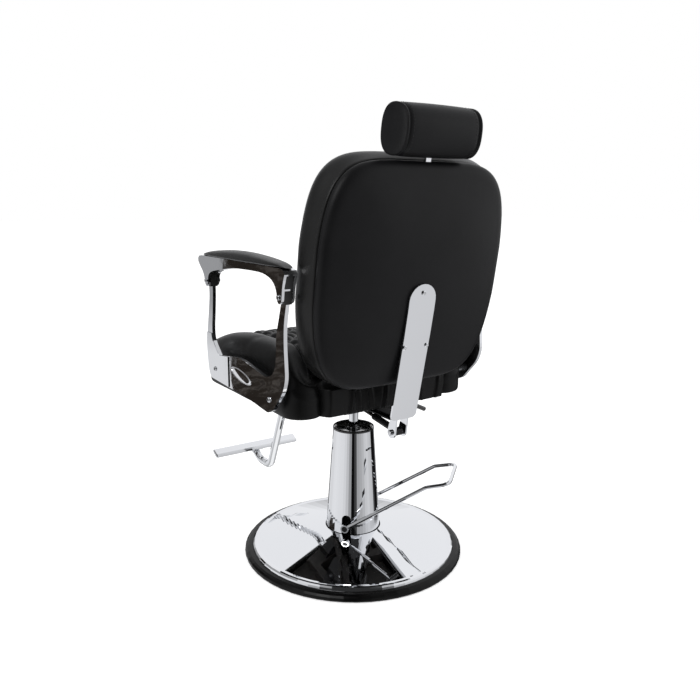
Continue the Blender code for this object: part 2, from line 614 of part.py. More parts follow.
# ---- footrest ----------------------------------------------------------------------------
def build_footrest(seat):
    holder = add_piece("footrest_receiver",
                       block((-0.0190, -0.3060, 0.4057), (0.0190, -0.2100, 0.4437)),
                       "black_steel", seat)
    combine(holder, rod((0, -0.35, 0.4247), (0, -0.2150, 0.4247), FOOT_TUBE_RADIUS + GAP, 20))

    lean = Matrix.Translation((0, -0.5960, 0.1160)) @ Matrix.Rotation(math.radians(-24), 4, "X")
    end = lean @ Vector((0, -0.0040, -0.0200))
    route = [(0, -0.2165, 0.4247), (0, -0.3400, 0.4247), (0, -0.4120, 0.2600),
             (0, -0.4900, 0.0780), (0, -0.5600, 0.0780), end]
    path = filleted(route, 0.036, 6)
    tube = tube_along(path, [FOOT_TUBE_RADIUS] * len(path), Vector((1, 0, 0)), 16)
    carrier = add_piece("footrest_tube", tube, "chrome", seat)
    bracket = block((-0.0240, -0.0130, -0.0125), (0.0240, 0.0130, -0.0075))
    bracket.transform(lean)
    combine(carrier, bracket, "UNION")

    half_w, half_t = 0.0185, 0.0070
    section = circle(half_t, 5, (half_w - half_t, 0), -math.pi / 2, math.pi, closed=False)
    section += circle(half_t, 5, (half_t - half_w, 0), math.pi / 2, math.pi, closed=False)
    bar = prism(section, -FOOT_BAR_HALF, FOOT_BAR_HALF)
    bar.transform(lean)
    piece = add_piece("footrest_bar", bar, "chrome", seat)
    soften(piece, 0.003, 2, 60)


# ---- back --------------------------------------------------------------------------------
def build_hinges(seat):
    eye = circle(0.0100, 9, (BACK_PIVOT.y, BACK_PIVOT.z), -math.pi / 2, math.pi, closed=False)
    outline = [(0.0923, 0.4460), (0.1300, 0.4460)] + eye + [(0.1200, 0.4880), (0.0923, 0.4880)]
    for side, label in ((1, "left"), (-1, "right")):
        place = (lambda bm: bm) if side > 0 else mirrored
        bracket = add_piece(f"hinge_bracket_{label}",
                            place(prism(outline, HINGE_INNER_X, HINGE_OUTER_X)),
                            "black_steel", seat)
        pivot = (BACK_PIVOT.y, BACK_PIVOT.z)
        combine(bracket, place(rod((0.13, *pivot), (0.16, *pivot), HINGE_PIN_RADIUS + GAP, 12)))
        face = HINGE_OUTER_X + GAP
        pin = [(0, 0.1200), (HINGE_PIN_RADIUS, 0.1200), (HINGE_PIN_RADIUS, face), (0.0070, face),
               (0.0070, face + 0.0032), (0, face + 0.0047)]
        bolt = turned(pin, 12, closed=False)
        bolt.transform(Matrix.Translation(BACK_PIVOT) @ Matrix.Rotation(math.pi / 2, 4, "Y"))
        add_piece(f"hinge_pin_{label}", place(bolt), "steel", seat)


def build_back(back):
    tube_end = HINGE_INNER_X - 0.0005
    tube = rod((-tube_end, 0, 0), (tube_end, 0, 0), 0.0080, 16)
    frame = add_piece("back_frame", leaning(tube), "black_steel", back)
    front = BACK_REAR - PANEL_THICKNESS - GAP
    arm = [(0.0010, -0.0060), (front, 0.0420), (front, 0.3200), (front - 0.0060, 0.3200),
           (front - 0.0060, 0.0480), (-0.0040, 0.0050)]
    for x in (-BRACE_X, BRACE_X):
        combine(frame, leaning(prism(arm, x - 0.0150, x + 0.0150)), "UNION")
    combine(frame, leaning(block((-0.1100, front - 0.0059, 0.2800), (0.1100, front, 0.3195))), "UNION")
    for side in (-1, 1):
        bore = rod((side * 0.1190, 0, 0), (side * 0.1500, 0, 0), HINGE_PIN_RADIUS + GAP, 12)
        combine(frame, leaning(bore))

    panel_outline = back_outline()
    panel = add_piece("back_panel", leaning(domed_panel(panel_outline)), "leather", back)
    soften(panel, 0.0040, 2, 60)

    cushion = add_piece("back_cushion", leaning(prism(panel_outline, BACK_FRONT, front, "Y")),
                        "leather", back)
    for x in (-BRACE_X, BRACE_X):
        slot = block((x - 0.0156, -0.0160, 0.0000), (x + 0.0156, 0.0700, 0.3210))
        combine(cushion, leaning(slot))
    combine(cushion, leaning(block((-0.1106, front - 0.0065, 0.2790), (0.1106, 0.0700, 0.3205))))
    post = block((-0.0090, front - 0.0130, 0.3900), (0.0090, 0.0700, 0.6000))
    combine(cushion, leaning(post))

    build_back_plate(back)


def domed_panel(outline):
    """The rear panel: flat in front and bulging behind, in rings that shrink to its middle."""
    front = [Vector((x, BACK_REAR - PANEL_THICKNESS, s)) for x, s in outline]
    rings = [front]
    for share in (1.0, 0.96, 0.88, 0.75, 0.6, 0.42, 0.22):
        bulge = PANEL_CROWN * (1 - share ** 2.8)
        rings.append([Vector((x * share, BACK_REAR + bulge, BACK_WIDEST + (s - BACK_WIDEST) * share))
                      for x, s in outline])
    return loft(rings)


def build_back_plate(back):
    """The chrome plate that carries the back down to the strut, and its three screws."""
    thick, top, low = 0.0050, 0.2850, -0.0600
    inner = [(0.0740, low - 0.01), (0.0775, 0.0000), (0.0829, 0.1000), (0.0865, 0.1600),
             (0.0888, 0.2200), (0.0896, top + 0.01)]
    side = inner + [(y + thick, s) for y, s in reversed(inner)]
    arch = circle(PLATE_HALF_WIDTH, 13, (0, top - PLATE_HALF_WIDTH), 0, math.pi, closed=False)
    foot_right = circle(0.0120, 4, (-PLATE_HALF_WIDTH + 0.0120, low + 0.0120), math.pi,
                        math.pi / 2, closed=False)
    foot_left = circle(0.0120, 4, (PLATE_HALF_WIDTH - 0.0120, low + 0.0120), -math.pi / 2,
                       math.pi / 2, closed=False)
    plate = add_piece("back_plate", leaning(prism(side, -0.05, 0.05)), "chrome", back)
    combine(plate, leaning(prism(arch + foot_right + foot_left, 0.05, 0.12, "Y")), "INTERSECT")
    for x in (-CLEVIS_EAR_X, CLEVIS_EAR_X):
        arc = circle(0.0150, 9, (CLEVIS_PIN.y, CLEVIS_PIN.z), math.radians(170), math.pi * 0.95,
                     closed=False)
        ear = [(0.2030, 0.4450), (0.1860, 0.4150)] + arc + [(0.2120, 0.4250), (0.2165, 0.4450)]
        combine(plate, prism(ear, x - CLEVIS_EAR_HALF, x + CLEVIS_EAR_HALF), "UNION")
    pin = (CLEVIS_PIN.y, CLEVIS_PIN.z)
    combine(plate, rod((-0.03, *pin), (0.03, *pin), STRUT_PIN_RADIUS + GAP, 12))

    screws = {"top": (0.0, 0.2640, 0.0946), "left": (0.0330, 0.1330, 0.0900),
              "right": (-0.0330, 0.1330, 0.0900)}
    for label, (x, s, face) in screws.items():
        hole = rod((x, face - 0.0290, s), (x, face + 0.01, s), 0.0029, 10)
        combine(plate, leaning(hole.copy()))
        combine(bpy.data.objects["back_panel"], leaning(hole))
        profile = [(0, -0.0270), (0.0025, -0.0270), (0.0025, 0), (0.0062, 0), (0.0060, 0.0012),
                   (0.0042, 0.0028), (0, 0.0032)]
        screw = turned(profile, 12, closed=False)
        screw.transform(Matrix.Translation((x, face + GAP, s)) @ Matrix.Rotation(-math.pi / 2, 4, "X"))
        add_piece(f"plate_screw_{label}", leaning(screw), "steel", back)

    ear_face = CLEVIS_EAR_X + CLEVIS_EAR_HALF + GAP
    bolt = [(0, -ear_face - 0.0065), (0.0068, -ear_face - 0.0065), (0.0072, -ear_face - 0.0058),
            (0.0072, -ear_face), (STRUT_PIN_RADIUS, -ear_face), (STRUT_PIN_RADIUS, ear_face),
            (0.0070, ear_face), (0.0070, ear_face + 0.0048), (0.0062, ear_face + 0.0058),
            (0, ear_face + 0.0062)]
    clevis = turned(bolt, 16, closed=False)
    clevis.transform(Matrix.Translation(CLEVIS_PIN) @ Matrix.Rotation(math.pi / 2, 4, "Y"))
    add_piece("clevis_bolt", clevis, "steel", back)


def build_headrest(back, head):
    post_y = BACK_REAR - PANEL_THICKNESS - 0.0062
    outline = [(post_y - 0.0040, 0.4050), (post_y + 0.0040, 0.4050), (post_y + 0.0040, 0.6150),
               (post_y - 0.0040, 0.6150)]
    post = add_piece("headrest_post", leaning(prism(outline, -0.0080, 0.0080)), "chrome", head)
    soften(post, 0.001)

    low = HEAD_CENTRE - HEAD_SIZE / 2
    high = HEAD_CENTRE + HEAD_SIZE / 2
    radius = 0.036
    outline = []
    for y, z, quarter in ((high.y - radius, high.z - radius, 0), (low.y + radius, high.z - radius, 1),
                          (low.y + radius, low.z + radius, 2), (high.y - radius, low.z + radius, 3)):
        outline += circle(radius, 6, (y, z), quarter * math.pi / 2, math.pi / 2, closed=False)
    cushion = add_piece("headrest_cushion", leaning(prism(outline, low.x, high.x)), "leather", head)
    soften(cushion, 0.010, 2, 60)
    socket = block((-0.0084, post_y - 0.0044, low.z - 0.02), (0.0084, post_y + 0.0044, 0.6160))
    combine(cushion, leaning(socket))


# ---- recline strut and its lever ---------------------------------------------------------
def build_strut(cylinder_body, rod_body):
    axis = (STRUT_ANCHOR - CLEVIS_PIN).normalized()
    turn = Vector((0, 0, 1)).rotation_difference(axis).to_matrix().to_4x4()
    length = (STRUT_ANCHOR - CLEVIS_PIN).length
    from_clevis = Matrix.Translation(CLEVIS_PIN) @ turn

    tube = [(0, 0.0075), (0.0070, 0.0090), (0.0088, 0.0140), (0.0088, 0.0980), (0.0070, 0.1000),
            (0.0048, 0.1000), (0.0048, 0.0140), (0, 0.0140)]
    bm = turned(tube, 20, closed=False)
    bm.transform(from_clevis)
    cylinder = add_piece("strut_cylinder", bm, "black_steel", cylinder_body)
    across = Vector((0.0110, 0, 0))
    combine(cylinder, rod(CLEVIS_PIN - across, CLEVIS_PIN + across, 0.0105, 16), "UNION")
    combine(cylinder, rod(CLEVIS_PIN - across * 2, CLEVIS_PIN + across * 2,
                          STRUT_PIN_RADIUS + GAP, 12))

    eye_radius = STRUT_PIN_RADIUS + STRUT_EYE_CLEARANCE + 0.0032
    stem = [(0, 0.0850), (0.0044, 0.0850), (0.0044, length - 0.0090), (0, length - 0.0090)]
    bm = turned(stem, 12, closed=False)
    bm.transform(from_clevis)
    piece = add_piece("strut_rod", bm, "steel", rod_body)
    across = Vector((0.0080, 0, 0))
    combine(piece, rod(STRUT_ANCHOR - across, STRUT_ANCHOR + across, eye_radius, 16), "UNION")
    combine(piece, rod(STRUT_ANCHOR - across * 2, STRUT_ANCHOR + across * 2,
                       STRUT_PIN_RADIUS + STRUT_EYE_CLEARANCE, 12))


def build_recline_lever(lever_body):
    pivot = RECLINE_LEVER_PIVOT
    route = [pivot, Vector((-0.1700, 0.0500, 0.3940)), Vector((-0.2070, 0.0500, 0.3760))]
    path = filleted(route, 0.030, 3)
    radii = [0.0048] * (len(path) - 2) + [0.0065] * 2
    lever = add_piece("recline_lever", tube_along(path, radii, Vector((0, 1, 0)), 12),
                      "black_steel", lever_body)
    across = Vector((0, 0.0060, 0))
    combine(lever, rod(pivot - across, pivot + across, 0.0085, 16), "UNION")
    combine(lever, rod(pivot - across * 2, pivot + across * 2, 0.0036, 12))


# ---- the whole chair ---------------------------------------------------------------------
def build():
    for old in list(bpy.data.objects):
        bpy.data.objects.remove(old, do_unlink=True)

    turn_lever = Matrix.Rotation(LEVER_HEADING, 4, "Z")
    lean = Matrix.Rotation(-BACK_TILT, 4, "X")
    lever = axes_empty("pump_lever_axis", Vector((0, 0, LEVER_PIVOT_Z)), turn_lever)
    piston = axes_empty("lift_axis", Vector((0, 0, 0)))
    seat = axes_empty("swivel_axis", Vector((0, 0, 0)), parent=piston)
    back = axes_empty("recline_axis", BACK_PIVOT, lean, parent=seat)
    head = axes_empty("headrest_axis", BACK_PIVOT, lean, parent=back)
    cylinder = axes_empty("strut_axis", CLEVIS_PIN, parent=back)
    strut = axes_empty("strut_rod_axis", STRUT_ANCHOR, parent=cylinder)
    recline = axes_empty("recline_lever_axis", RECLINE_LEVER_PIVOT, parent=seat)

    build_base()
    build_pump()
    build_column()
    build_pump_lever(lever)
    build_lift(piston, seat)
    build_seat(seat)
    for side in (1, -1):
        build_arm(seat, side)
    build_footrest(seat)
    build_hinges(seat)
    build_back(back)
    build_headrest(back, head)
    build_strut(cylinder, strut)
    build_recline_lever(recline)


build()
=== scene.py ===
"""Looks for the hydraulic barber chair: leather, chrome, rubber, light and camera.

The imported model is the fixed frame. Metres, +Z up; the sitter faces -Y, and +X is the
sitter's left. Soft pieces are built here as closed meshes that stand for the plain solids of the
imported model. The seat, the back and the headrest are also puffed by a short cloth simulation
that is held along their seams.
"""
import json
import math

import bmesh
import bpy
import numpy as np
from mathutils import Matrix, Vector, noise


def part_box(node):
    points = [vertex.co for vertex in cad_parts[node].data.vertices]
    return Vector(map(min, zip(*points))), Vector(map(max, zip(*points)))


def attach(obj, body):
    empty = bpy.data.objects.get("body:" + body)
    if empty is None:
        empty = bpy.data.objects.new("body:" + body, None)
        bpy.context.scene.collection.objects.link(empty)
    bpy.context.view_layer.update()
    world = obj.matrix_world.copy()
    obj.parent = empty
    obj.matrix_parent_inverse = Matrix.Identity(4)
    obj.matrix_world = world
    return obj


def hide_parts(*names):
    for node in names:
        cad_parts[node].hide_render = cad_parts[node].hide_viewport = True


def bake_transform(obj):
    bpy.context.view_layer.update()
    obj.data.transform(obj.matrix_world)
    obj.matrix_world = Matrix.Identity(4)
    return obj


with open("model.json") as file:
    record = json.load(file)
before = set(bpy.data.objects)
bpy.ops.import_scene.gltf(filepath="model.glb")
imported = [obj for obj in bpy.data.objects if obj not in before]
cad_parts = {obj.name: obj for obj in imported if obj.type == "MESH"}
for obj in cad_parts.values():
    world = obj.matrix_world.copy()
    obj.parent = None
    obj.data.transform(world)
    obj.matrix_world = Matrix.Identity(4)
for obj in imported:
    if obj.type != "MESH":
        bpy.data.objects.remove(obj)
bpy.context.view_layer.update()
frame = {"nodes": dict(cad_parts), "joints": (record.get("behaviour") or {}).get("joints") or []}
scene = bpy.context.scene
nodes = frame["nodes"]
joints = {joint["name"]: joint for joint in frame["joints"]}

# ---- sizes taken from the frame ----------------------------------------------------------
BACK_PIVOT = Vector(joints["recline"]["pos_m"])
BACK_UP = Vector(joints["headrest_slide"]["axis"]).normalized()
BACK_TILT = math.atan2(BACK_UP.y, BACK_UP.z)
BACK_FRAME = Matrix.Translation(BACK_PIVOT) @ Matrix.Rotation(-BACK_TILT, 4, "X")

SKIRT_LOW, SKIRT_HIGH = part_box("seat_skirt")
CUSHION_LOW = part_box("seat_cushion")[0]
FLAP_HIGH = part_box("rear_flap")[1]
HEAD_LOW, HEAD_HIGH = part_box("headrest_cushion")

# ---- driving dimensions ------------------------------------------------------------------
SEAT_HALF = SKIRT_HIGH.x              # half the width of the wrapped seat
SEAT_FRONT = CUSHION_LOW.y + 0.002
SEAT_REAR = 0.1450
SEAT_BOTTOM = SKIRT_LOW.z
SEAT_CREST = 0.612                    # top of the seat's side bolsters
SEAT_CORNER = 0.048                   # radius of the seat's corners in plan
BOLSTER_WIDTH = 0.068
RECESS_HALF = 0.1790                  # half the width of the opening for the back's hinges
QUILT_PITCH = 0.052                   # distance between parallel lines of quilting

BACK_HALF = 0.2660                    # half the width of the back at its rear seam
BACK_LOW, BACK_MID, BACK_HIGH = 0.0240, 0.3000, 0.5535
BACK_FLARE = 0.0095                   # how much larger the back is in front than at that seam
BACK_BARREL = 2.0                     # how fast the back's sides draw in above and below
CORNER_POWER = 5.6                    # larger for tighter corners
BAND_SEAM_DEPTH = 0.0400              # the stitched seam of the side band, in the back's frame
QUILT_SEAM = 0.0615                   # from the back's outline in to the seam round its quilting

HEAD_CENTRE = BACK_FRAME.inverted() @ ((HEAD_LOW + HEAD_HIGH) / 2)
HEAD_HALF = (HEAD_HIGH.x - HEAD_LOW.x) / 2
HEAD_DEPTH, HEAD_HEIGHT = 0.0930, 0.1090
HEAD_SEAM = HEAD_HALF - 0.0060        # the end seams of the headrest, from its middle
HEAD_POWER = 2.7                      # how square its section is

FLAP_HALF = 0.2060
FLAP_THICKNESS = 0.0018
FLAP_PLEATS = (-0.156, -0.100, -0.046, 0.012, 0.056, 0.092, 0.113)

OVAL_HALF_LENGTH, OVAL_HALF_HEIGHT = 0.0560, 0.0140
PIPING_RADIUS = 0.0021
THREAD_STEP = 0.0011                  # distance between the points of a thread
STITCH_LENGTH = 0.0042
STITCH_GAP = 0.0026
THREAD_RADIUS = 0.00055


# ---- camera ------------------------------------------------------------------------------
def make_camera():
    data = bpy.data.cameras.new("camera")
    camera = bpy.data.objects.new("camera", data)
    scene.collection.objects.link(camera)
    data.sensor_width = 36.0
    data.lens = 36.46
    data.clip_start = 0.05
    data.clip_end = 60.0
    forward = Vector((-0.5494, -0.8094, -0.2075)).normalized()
    turn = forward.to_track_quat("-Z", "Y").to_matrix().to_4x4()
    roll = Matrix.Rotation(math.radians(0.30), 4, "Z")
    camera.matrix_world = Matrix.Translation((1.0435, 1.5185, 0.9509)) @ turn @ roll
    scene.camera = camera


# ---- materials ---------------------------------------------------------------------------
def new_material(name):
    material = bpy.data.materials.new(name)
    material.use_nodes = True
    tree = material.node_tree
    return material, tree, tree.nodes["Principled BSDF"]


def add_node(tree, kind, inputs=None, **settings):
    node = tree.nodes.new(kind)
    for key, value in settings.items():
        setattr(node, key, value)
    for key, value in (inputs or {}).items():
        if isinstance(value, bpy.types.NodeSocket):
            tree.links.new(value, node.inputs[key])
        else:
            node.inputs[key].default_value = value
    return node


def ramp(tree, factor, stops):
    node = add_node(tree, "ShaderNodeValToRGB", {"Fac": factor})
    elements = node.color_ramp.elements
    while len(elements) < len(stops):
        elements.new(0.5)
    for element, (position, colour) in zip(elements, stops):
        element.position = position
        element.color = (*colour, 1) if len(colour) == 3 else colour
    return node.outputs["Color"]


def grey(value):
    return (value, value, value)


def leather(name, dark, light, roughness, shine=0.22, grain=420.0, depth=0.35, blue=1.0):
    """Grained synthetic leather: pebbles, fine pores and slow changes of tone and gloss."""
    material, tree, shader = new_material(name)
    place = add_node(tree, "ShaderNodeTexCoord").outputs["Object"]
    slow = add_node(tree, "ShaderNodeTexNoise", {"Vector": place, "Scale": 9.0, "Detail": 4.0,
                                                 "Roughness": 0.6}).outputs["Fac"]
    colour = ramp(tree, slow, [(0.3, (dark, dark, dark * blue)), (0.7, (light, light, light * blue))])
    tree.links.new(colour, shader.inputs["Base Color"])
    cells = add_node(tree, "ShaderNodeTexVoronoi", {"Vector": place, "Scale": grain,
                                                    "Randomness": 1.0},
                     feature="DISTANCE_TO_EDGE").outputs["Distance"]
    pebbles = ramp(tree, cells, [(0.0, grey(0.0)), (0.22, grey(1.0))])
    pores = add_node(tree, "ShaderNodeTexNoise", {"Vector": place, "Scale": grain * 3.2,
                                                  "Detail": 2.0}).outputs["Fac"]
    height = add_node(tree, "ShaderNodeMath", {0: pebbles, 1: pores}, operation="MULTIPLY")
    bump = add_node(tree, "ShaderNodeBump", {"Height": height.outputs[0], "Strength": depth,
                                             "Distance": 0.00025})
    creases = add_node(tree, "ShaderNodeTexNoise", {"Vector": place, "Scale": 38.0, "Detail": 5.0,
                                                    "Distortion": 0.6}).outputs["Fac"]
    soft = add_node(tree, "ShaderNodeBump", {"Height": creases, "Strength": 0.06,
                                             "Distance": 0.004, "Normal": bump.outputs[0]})
    tree.links.new(soft.outputs[0], shader.inputs["Normal"])
    gloss = add_node(tree, "ShaderNodeMapRange", {"Value": slow, "From Min": 0.3, "From Max": 0.7,
                                                  "To Min": roughness - 0.03,
                                                  "To Max": roughness + 0.04})
    tree.links.new(gloss.outputs[0], shader.inputs["Roughness"])
    shader.inputs["Specular IOR Level"].default_value = shine
    shader.inputs["Sheen Weight"].default_value = 0.015
    shader.inputs["Sheen Roughness"].default_value = 0.35
    return material


def chrome(name, colour=(0.86, 0.87, 0.89), roughness=0.035, wave=0.0):
    """Mirror plate with faint wipe marks in its gloss and, on castings, a slightly uneven face."""
    material, tree, shader = new_material(name)
    place = add_node(tree, "ShaderNodeTexCoord").outputs["Object"]
    shader.inputs["Metallic"].default_value = 1.0
    shader.inputs["Base Color"].default_value = (*colour, 1)
    smudge = add_node(tree, "ShaderNodeTexNoise", {"Vector": place, "Scale": 22.0, "Detail": 6.0,
                                                   "Roughness": 0.65}).outputs["Fac"]
    gloss = add_node(tree, "ShaderNodeMapRange", {"Value": smudge, "From Min": 0.35,
                                                  "From Max": 0.75, "To Min": roughness,
                                                  "To Max": roughness + 0.03})
    tree.links.new(gloss.outputs[0], shader.inputs["Roughness"])
    if wave:
        ripple = add_node(tree, "ShaderNodeTexNoise", {"Vector": place, "Scale": 26.0,
                                                       "Detail": 1.0}).outputs["Fac"]
        bump = add_node(tree, "ShaderNodeBump", {"Height": ripple, "Strength": wave,
                                                 "Distance": 0.004})
        tree.links.new(bump.outputs[0], shader.inputs["Normal"])
    return material


def painted(name, colour, roughness, shine=0.5, texture=220.0, depth=0.08, coat=0.0):
    """Paint, plastic or rubber with a fine skin texture and an uneven gloss."""
    material, tree, shader = new_material(name)
    place = add_node(tree, "ShaderNodeTexCoord").outputs["Object"]
    fine = add_node(tree, "ShaderNodeTexNoise", {"Vector": place, "Scale": texture,
                                                 "Detail": 4.0}).outputs["Fac"]
    slow = add_node(tree, "ShaderNodeTexNoise", {"Vector": place, "Scale": 14.0,
                                                 "Detail": 5.0}).outputs["Fac"]
    light = tuple(min(1.0, c * 1.35 + 0.002) for c in colour)
    tree.links.new(ramp(tree, slow, [(0.35, colour), (0.7, light)]), shader.inputs["Base Color"])
    gloss = add_node(tree, "ShaderNodeMapRange", {"Value": slow, "From Min": 0.3, "From Max": 0.7,
                                                  "To Min": roughness * 0.85,
                                                  "To Max": roughness * 1.2})
    tree.links.new(gloss.outputs[0], shader.inputs["Roughness"])
    bump = add_node(tree, "ShaderNodeBump", {"Height": fine, "Strength": depth,
                                             "Distance": 0.0004})
    tree.links.new(bump.outputs[0], shader.inputs["Normal"])
    shader.inputs["Specular IOR Level"].default_value = shine
    shader.inputs["Coat Weight"].default_value = coat
    shader.inputs["Coat Roughness"].default_value = 0.08
    return material


def wood(name):
    """Plywood coloured nearly black, with its grain along X."""
    material, tree, shader = new_material(name)
    place = add_node(tree, "ShaderNodeTexCoord").outputs["Object"]
    long = add_node(tree, "ShaderNodeMapping", {"Vector": place, "Scale": (3.0, 40.0, 40.0)})
    rings = add_node(tree, "ShaderNodeTexNoise", {"Vector": long.outputs[0], "Scale": 3.0,
                                                  "Detail": 8.0}).outputs["Fac"]
    tree.links.new(ramp(tree, rings, [(0.3, (0.006, 0.005, 0.004)), (0.7, (0.014, 0.011, 0.009))]),
                   shader.inputs["Base Color"])
    shader.inputs["Roughness"].default_value = 0.7
    return material


LEATHER_SEAT = leather("seat_leather", 0.0022, 0.0036, 0.38, shine=0.17)
LEATHER_BACK = leather("back_leather", 0.0034, 0.0050, 0.42, shine=0.18, blue=1.14)
LEATHER_BAND = leather("band_leather", 0.0040, 0.0060, 0.36, shine=0.26)
LEATHER_PAD = leather("pad_leather", 0.0050, 0.0075, 0.36, shine=0.34)
THREAD = painted("thread", (0.016, 0.016, 0.017), 0.5, texture=900.0)
CHROME = chrome("chrome_plate", roughness=0.012)
CHROME_CAST = chrome("cast_chrome", roughness=0.03, wave=0.05)
CHROME_ROD = chrome("rod_chrome", roughness=0.05)
ZINC = chrome("bright_zinc", (0.70, 0.71, 0.73), 0.16)
BLACK_STEEL = painted("satin_black", (0.0045, 0.0045, 0.0050), 0.30, shine=0.25)
BLACK_GLOSS = painted("gloss_black", (0.006, 0.006, 0.006), 0.10, texture=60.0, depth=0.02,
                      coat=0.6)
BLACK_BLOCK = painted("block_black", (0.008, 0.008, 0.008), 0.32)
RUBBER = painted("ring_rubber", (0.0015, 0.0015, 0.0015), 0.25, shine=0.17, texture=300.0,
                 depth=0.05)
# the seat frame's plywood, coloured nearly black
WOOD = wood("near_black_wood")

NODE_FINISH = {
    "base_plate": BLACK_STEEL, "rubber_ring": RUBBER, "base_dome": CHROME,
    "pump_body": BLACK_STEEL, "gland_nut": ZINC, "column_cover": CHROME,
    "column_cap": BLACK_GLOSS, "pump_lever": CHROME_ROD, "pump_shaft": BLACK_STEEL,
    "piston_rod": CHROME_ROD, "recline_channel": BLACK_STEEL, "seat_frame": WOOD,
    "seat_board": WOOD, "footrest_receiver": BLACK_STEEL, "footrest_tube": CHROME_ROD,
    "footrest_bar": CHROME_ROD, "strut_pin": ZINC, "back_frame": BLACK_STEEL,
    "back_plate": CHROME, "clevis_bolt": ZINC, "headrest_post": CHROME_ROD,
    "recline_lever": BLACK_GLOSS, "strut_cylinder": BLACK_STEEL, "strut_rod": ZINC,
}
NODE_FINISH_BY_START = (("arm_casting", CHROME_CAST), ("arm_rail", CHROME_CAST),
                        ("arm_screw", ZINC), ("fork_bolt", ZINC), ("fork_block", BLACK_BLOCK),
                        ("hinge_pin", ZINC), ("hinge_bracket", BLACK_STEEL),
                        ("mount_bolt", ZINC), ("plate_screw", CHROME_ROD))


def finish_nodes():
    """Gives every carried-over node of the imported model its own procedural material."""
    for name, node in nodes.items():
        material = NODE_FINISH.get(name)
        for start, by_start in NODE_FINISH_BY_START:
            if name.startswith(start):
                material = by_start
        if material is None:
            continue
        for slot in node.material_slots:
            slot.material = material


# ---- mesh helpers ------------------------------------------------------------------------
def link_mesh(name, verts, faces, material, smooth=True):
    mesh = bpy.data.meshes.new(name)
    mesh.from_pydata([tuple(v) for v in verts], [], faces)
    bm = bmesh.new()
    bm.from_mesh(mesh)
    bmesh.ops.remove_doubles(bm, verts=bm.verts, dist=1e-6)
    bmesh.ops.recalc_face_normals(bm, faces=bm.faces)
    bm.to_mesh(mesh)
    bm.free()
    if smooth:
        mesh.shade_smooth()
    mesh.materials.append(material)
    piece = bpy.data.objects.new(name, mesh)
    scene.collection.objects.link(piece)
    return piece


def skin(rows, cap_first=True, cap_last=True):
    """Vertices and faces of a tube of closed rows, its ends closed by a fan round their middle."""
    count = len(rows[0])
    verts = [tuple(point) for row in rows for point in row]
    faces = []
    for r in range(len(rows) - 1):
        for i in range(count):
            j = (i + 1) % count
            faces.append((r * count + i, r * count + j, (r + 1) * count + j, (r + 1) * count + i))
    for wanted, row in ((cap_first, 0), (cap_last, len(rows) - 1)):
        if not wanted:
            continue
        centre = len(verts)
        verts.append(tuple(np.mean(np.array(rows[row], float), axis=0)))
        for i in range(count):
            faces.append((row * count + i, row * count + (i + 1) % count, centre))
    return verts, faces


def double_grid(columns, rows):
    """Faces of a closed sheet: two layers of a grid, one after the other, joined round their rim."""
    across = columns + 1
    layer = across * (rows + 1)
    faces = []
    for r in range(rows):
        for c in range(columns):
            a = r * across + c
            faces.append((a, a + 1, a + across + 1, a + across))
            faces.append((layer + a, layer + a + across, layer + a + across + 1, layer + a + 1))
    rim = list(range(across)) + [r * across + columns for r in range(1, rows + 1)]
    rim += [rows * across + c for c in range(columns - 1, -1, -1)]
    rim += [r * across for r in range(rows - 1, 0, -1)]
    for i, a in enumerate(rim):
        b = rim[(i + 1) % len(rim)]
        faces.append((a, layer + a, layer + b, b))
    return faces


def smoothstep(low, high, value):
    """0 at low, 1 at high and smooth between; low may be the larger."""
    t = min(1.0, max(0.0, (value - low) / (high - low)))
    return t * t * (3 - 2 * t)


def groove(distance, width):
    """1 in the bottom of a seam, falling to 0 at its edges."""
    return math.exp(-(distance / width) ** 2)


def quilting(u, v, pitch=QUILT_PITCH):
    """0 on the crossing diagonal stitch lines and 1 in the middle of each diamond."""
    a = abs(math.sin(math.pi * (u + v) / pitch))
    b = abs(math.sin(math.pi * (u - v) / pitch))
    return (a * b) ** 0.42


def tube(name, path, radius, material, sides=8, closed=False):
    """A round bead of piping or thread along a path of points."""
    path = [Vector(point) for point in path]
    count = len(path)
    rows = []
    reference = None
    for i, point in enumerate(path):
        before = path[(i - 1) % count] if closed else path[max(i - 1, 0)]
        after = path[(i + 1) % count] if closed else path[min(i + 1, count - 1)]
        direction = (after - before).normalized()
        if reference is None:
            reference = direction.orthogonal().normalized()
        side = (reference - direction * reference.dot(direction)).normalized()
        reference = side
        up = direction.cross(side)
        rows.append([point + side * (radius * math.cos(2 * math.pi * k / sides))
                     + up * (radius * math.sin(2 * math.pi * k / sides)) for k in range(sides)])
    if closed:
        verts, faces = skin(rows, False, False)
        last = (count - 1) * sides
        for i in range(sides):
            j = (i + 1) % sides
            faces.append((last + i, last + j, j, i))
    else:
        verts, faces = skin(rows)
    return link_mesh(name, verts, faces, material)


def resample(path, step, closed=False, count=None):
    """Evenly spaced points along a path, a step apart or count of them in all."""
    path = [Vector(point) for point in path]
    if closed:
        path = path + [path[0]]
    lengths = [0.0]
    for a, b in zip(path, path[1:]):
        lengths.append(lengths[-1] + (b - a).length)
    count = count or max(2, int(lengths[-1] / step))
    result = []
    segment = 0
    for k in range(count + (0 if closed else 1)):
        target = lengths[-1] * k / count
        while segment < len(path) - 2 and lengths[segment + 1] < target:
            segment += 1
        span = lengths[segment + 1] - lengths[segment]
        t = (target - lengths[segment]) / span if span > 0 else 0
        result.append(path[segment].lerp(path[segment + 1], t))
    return result


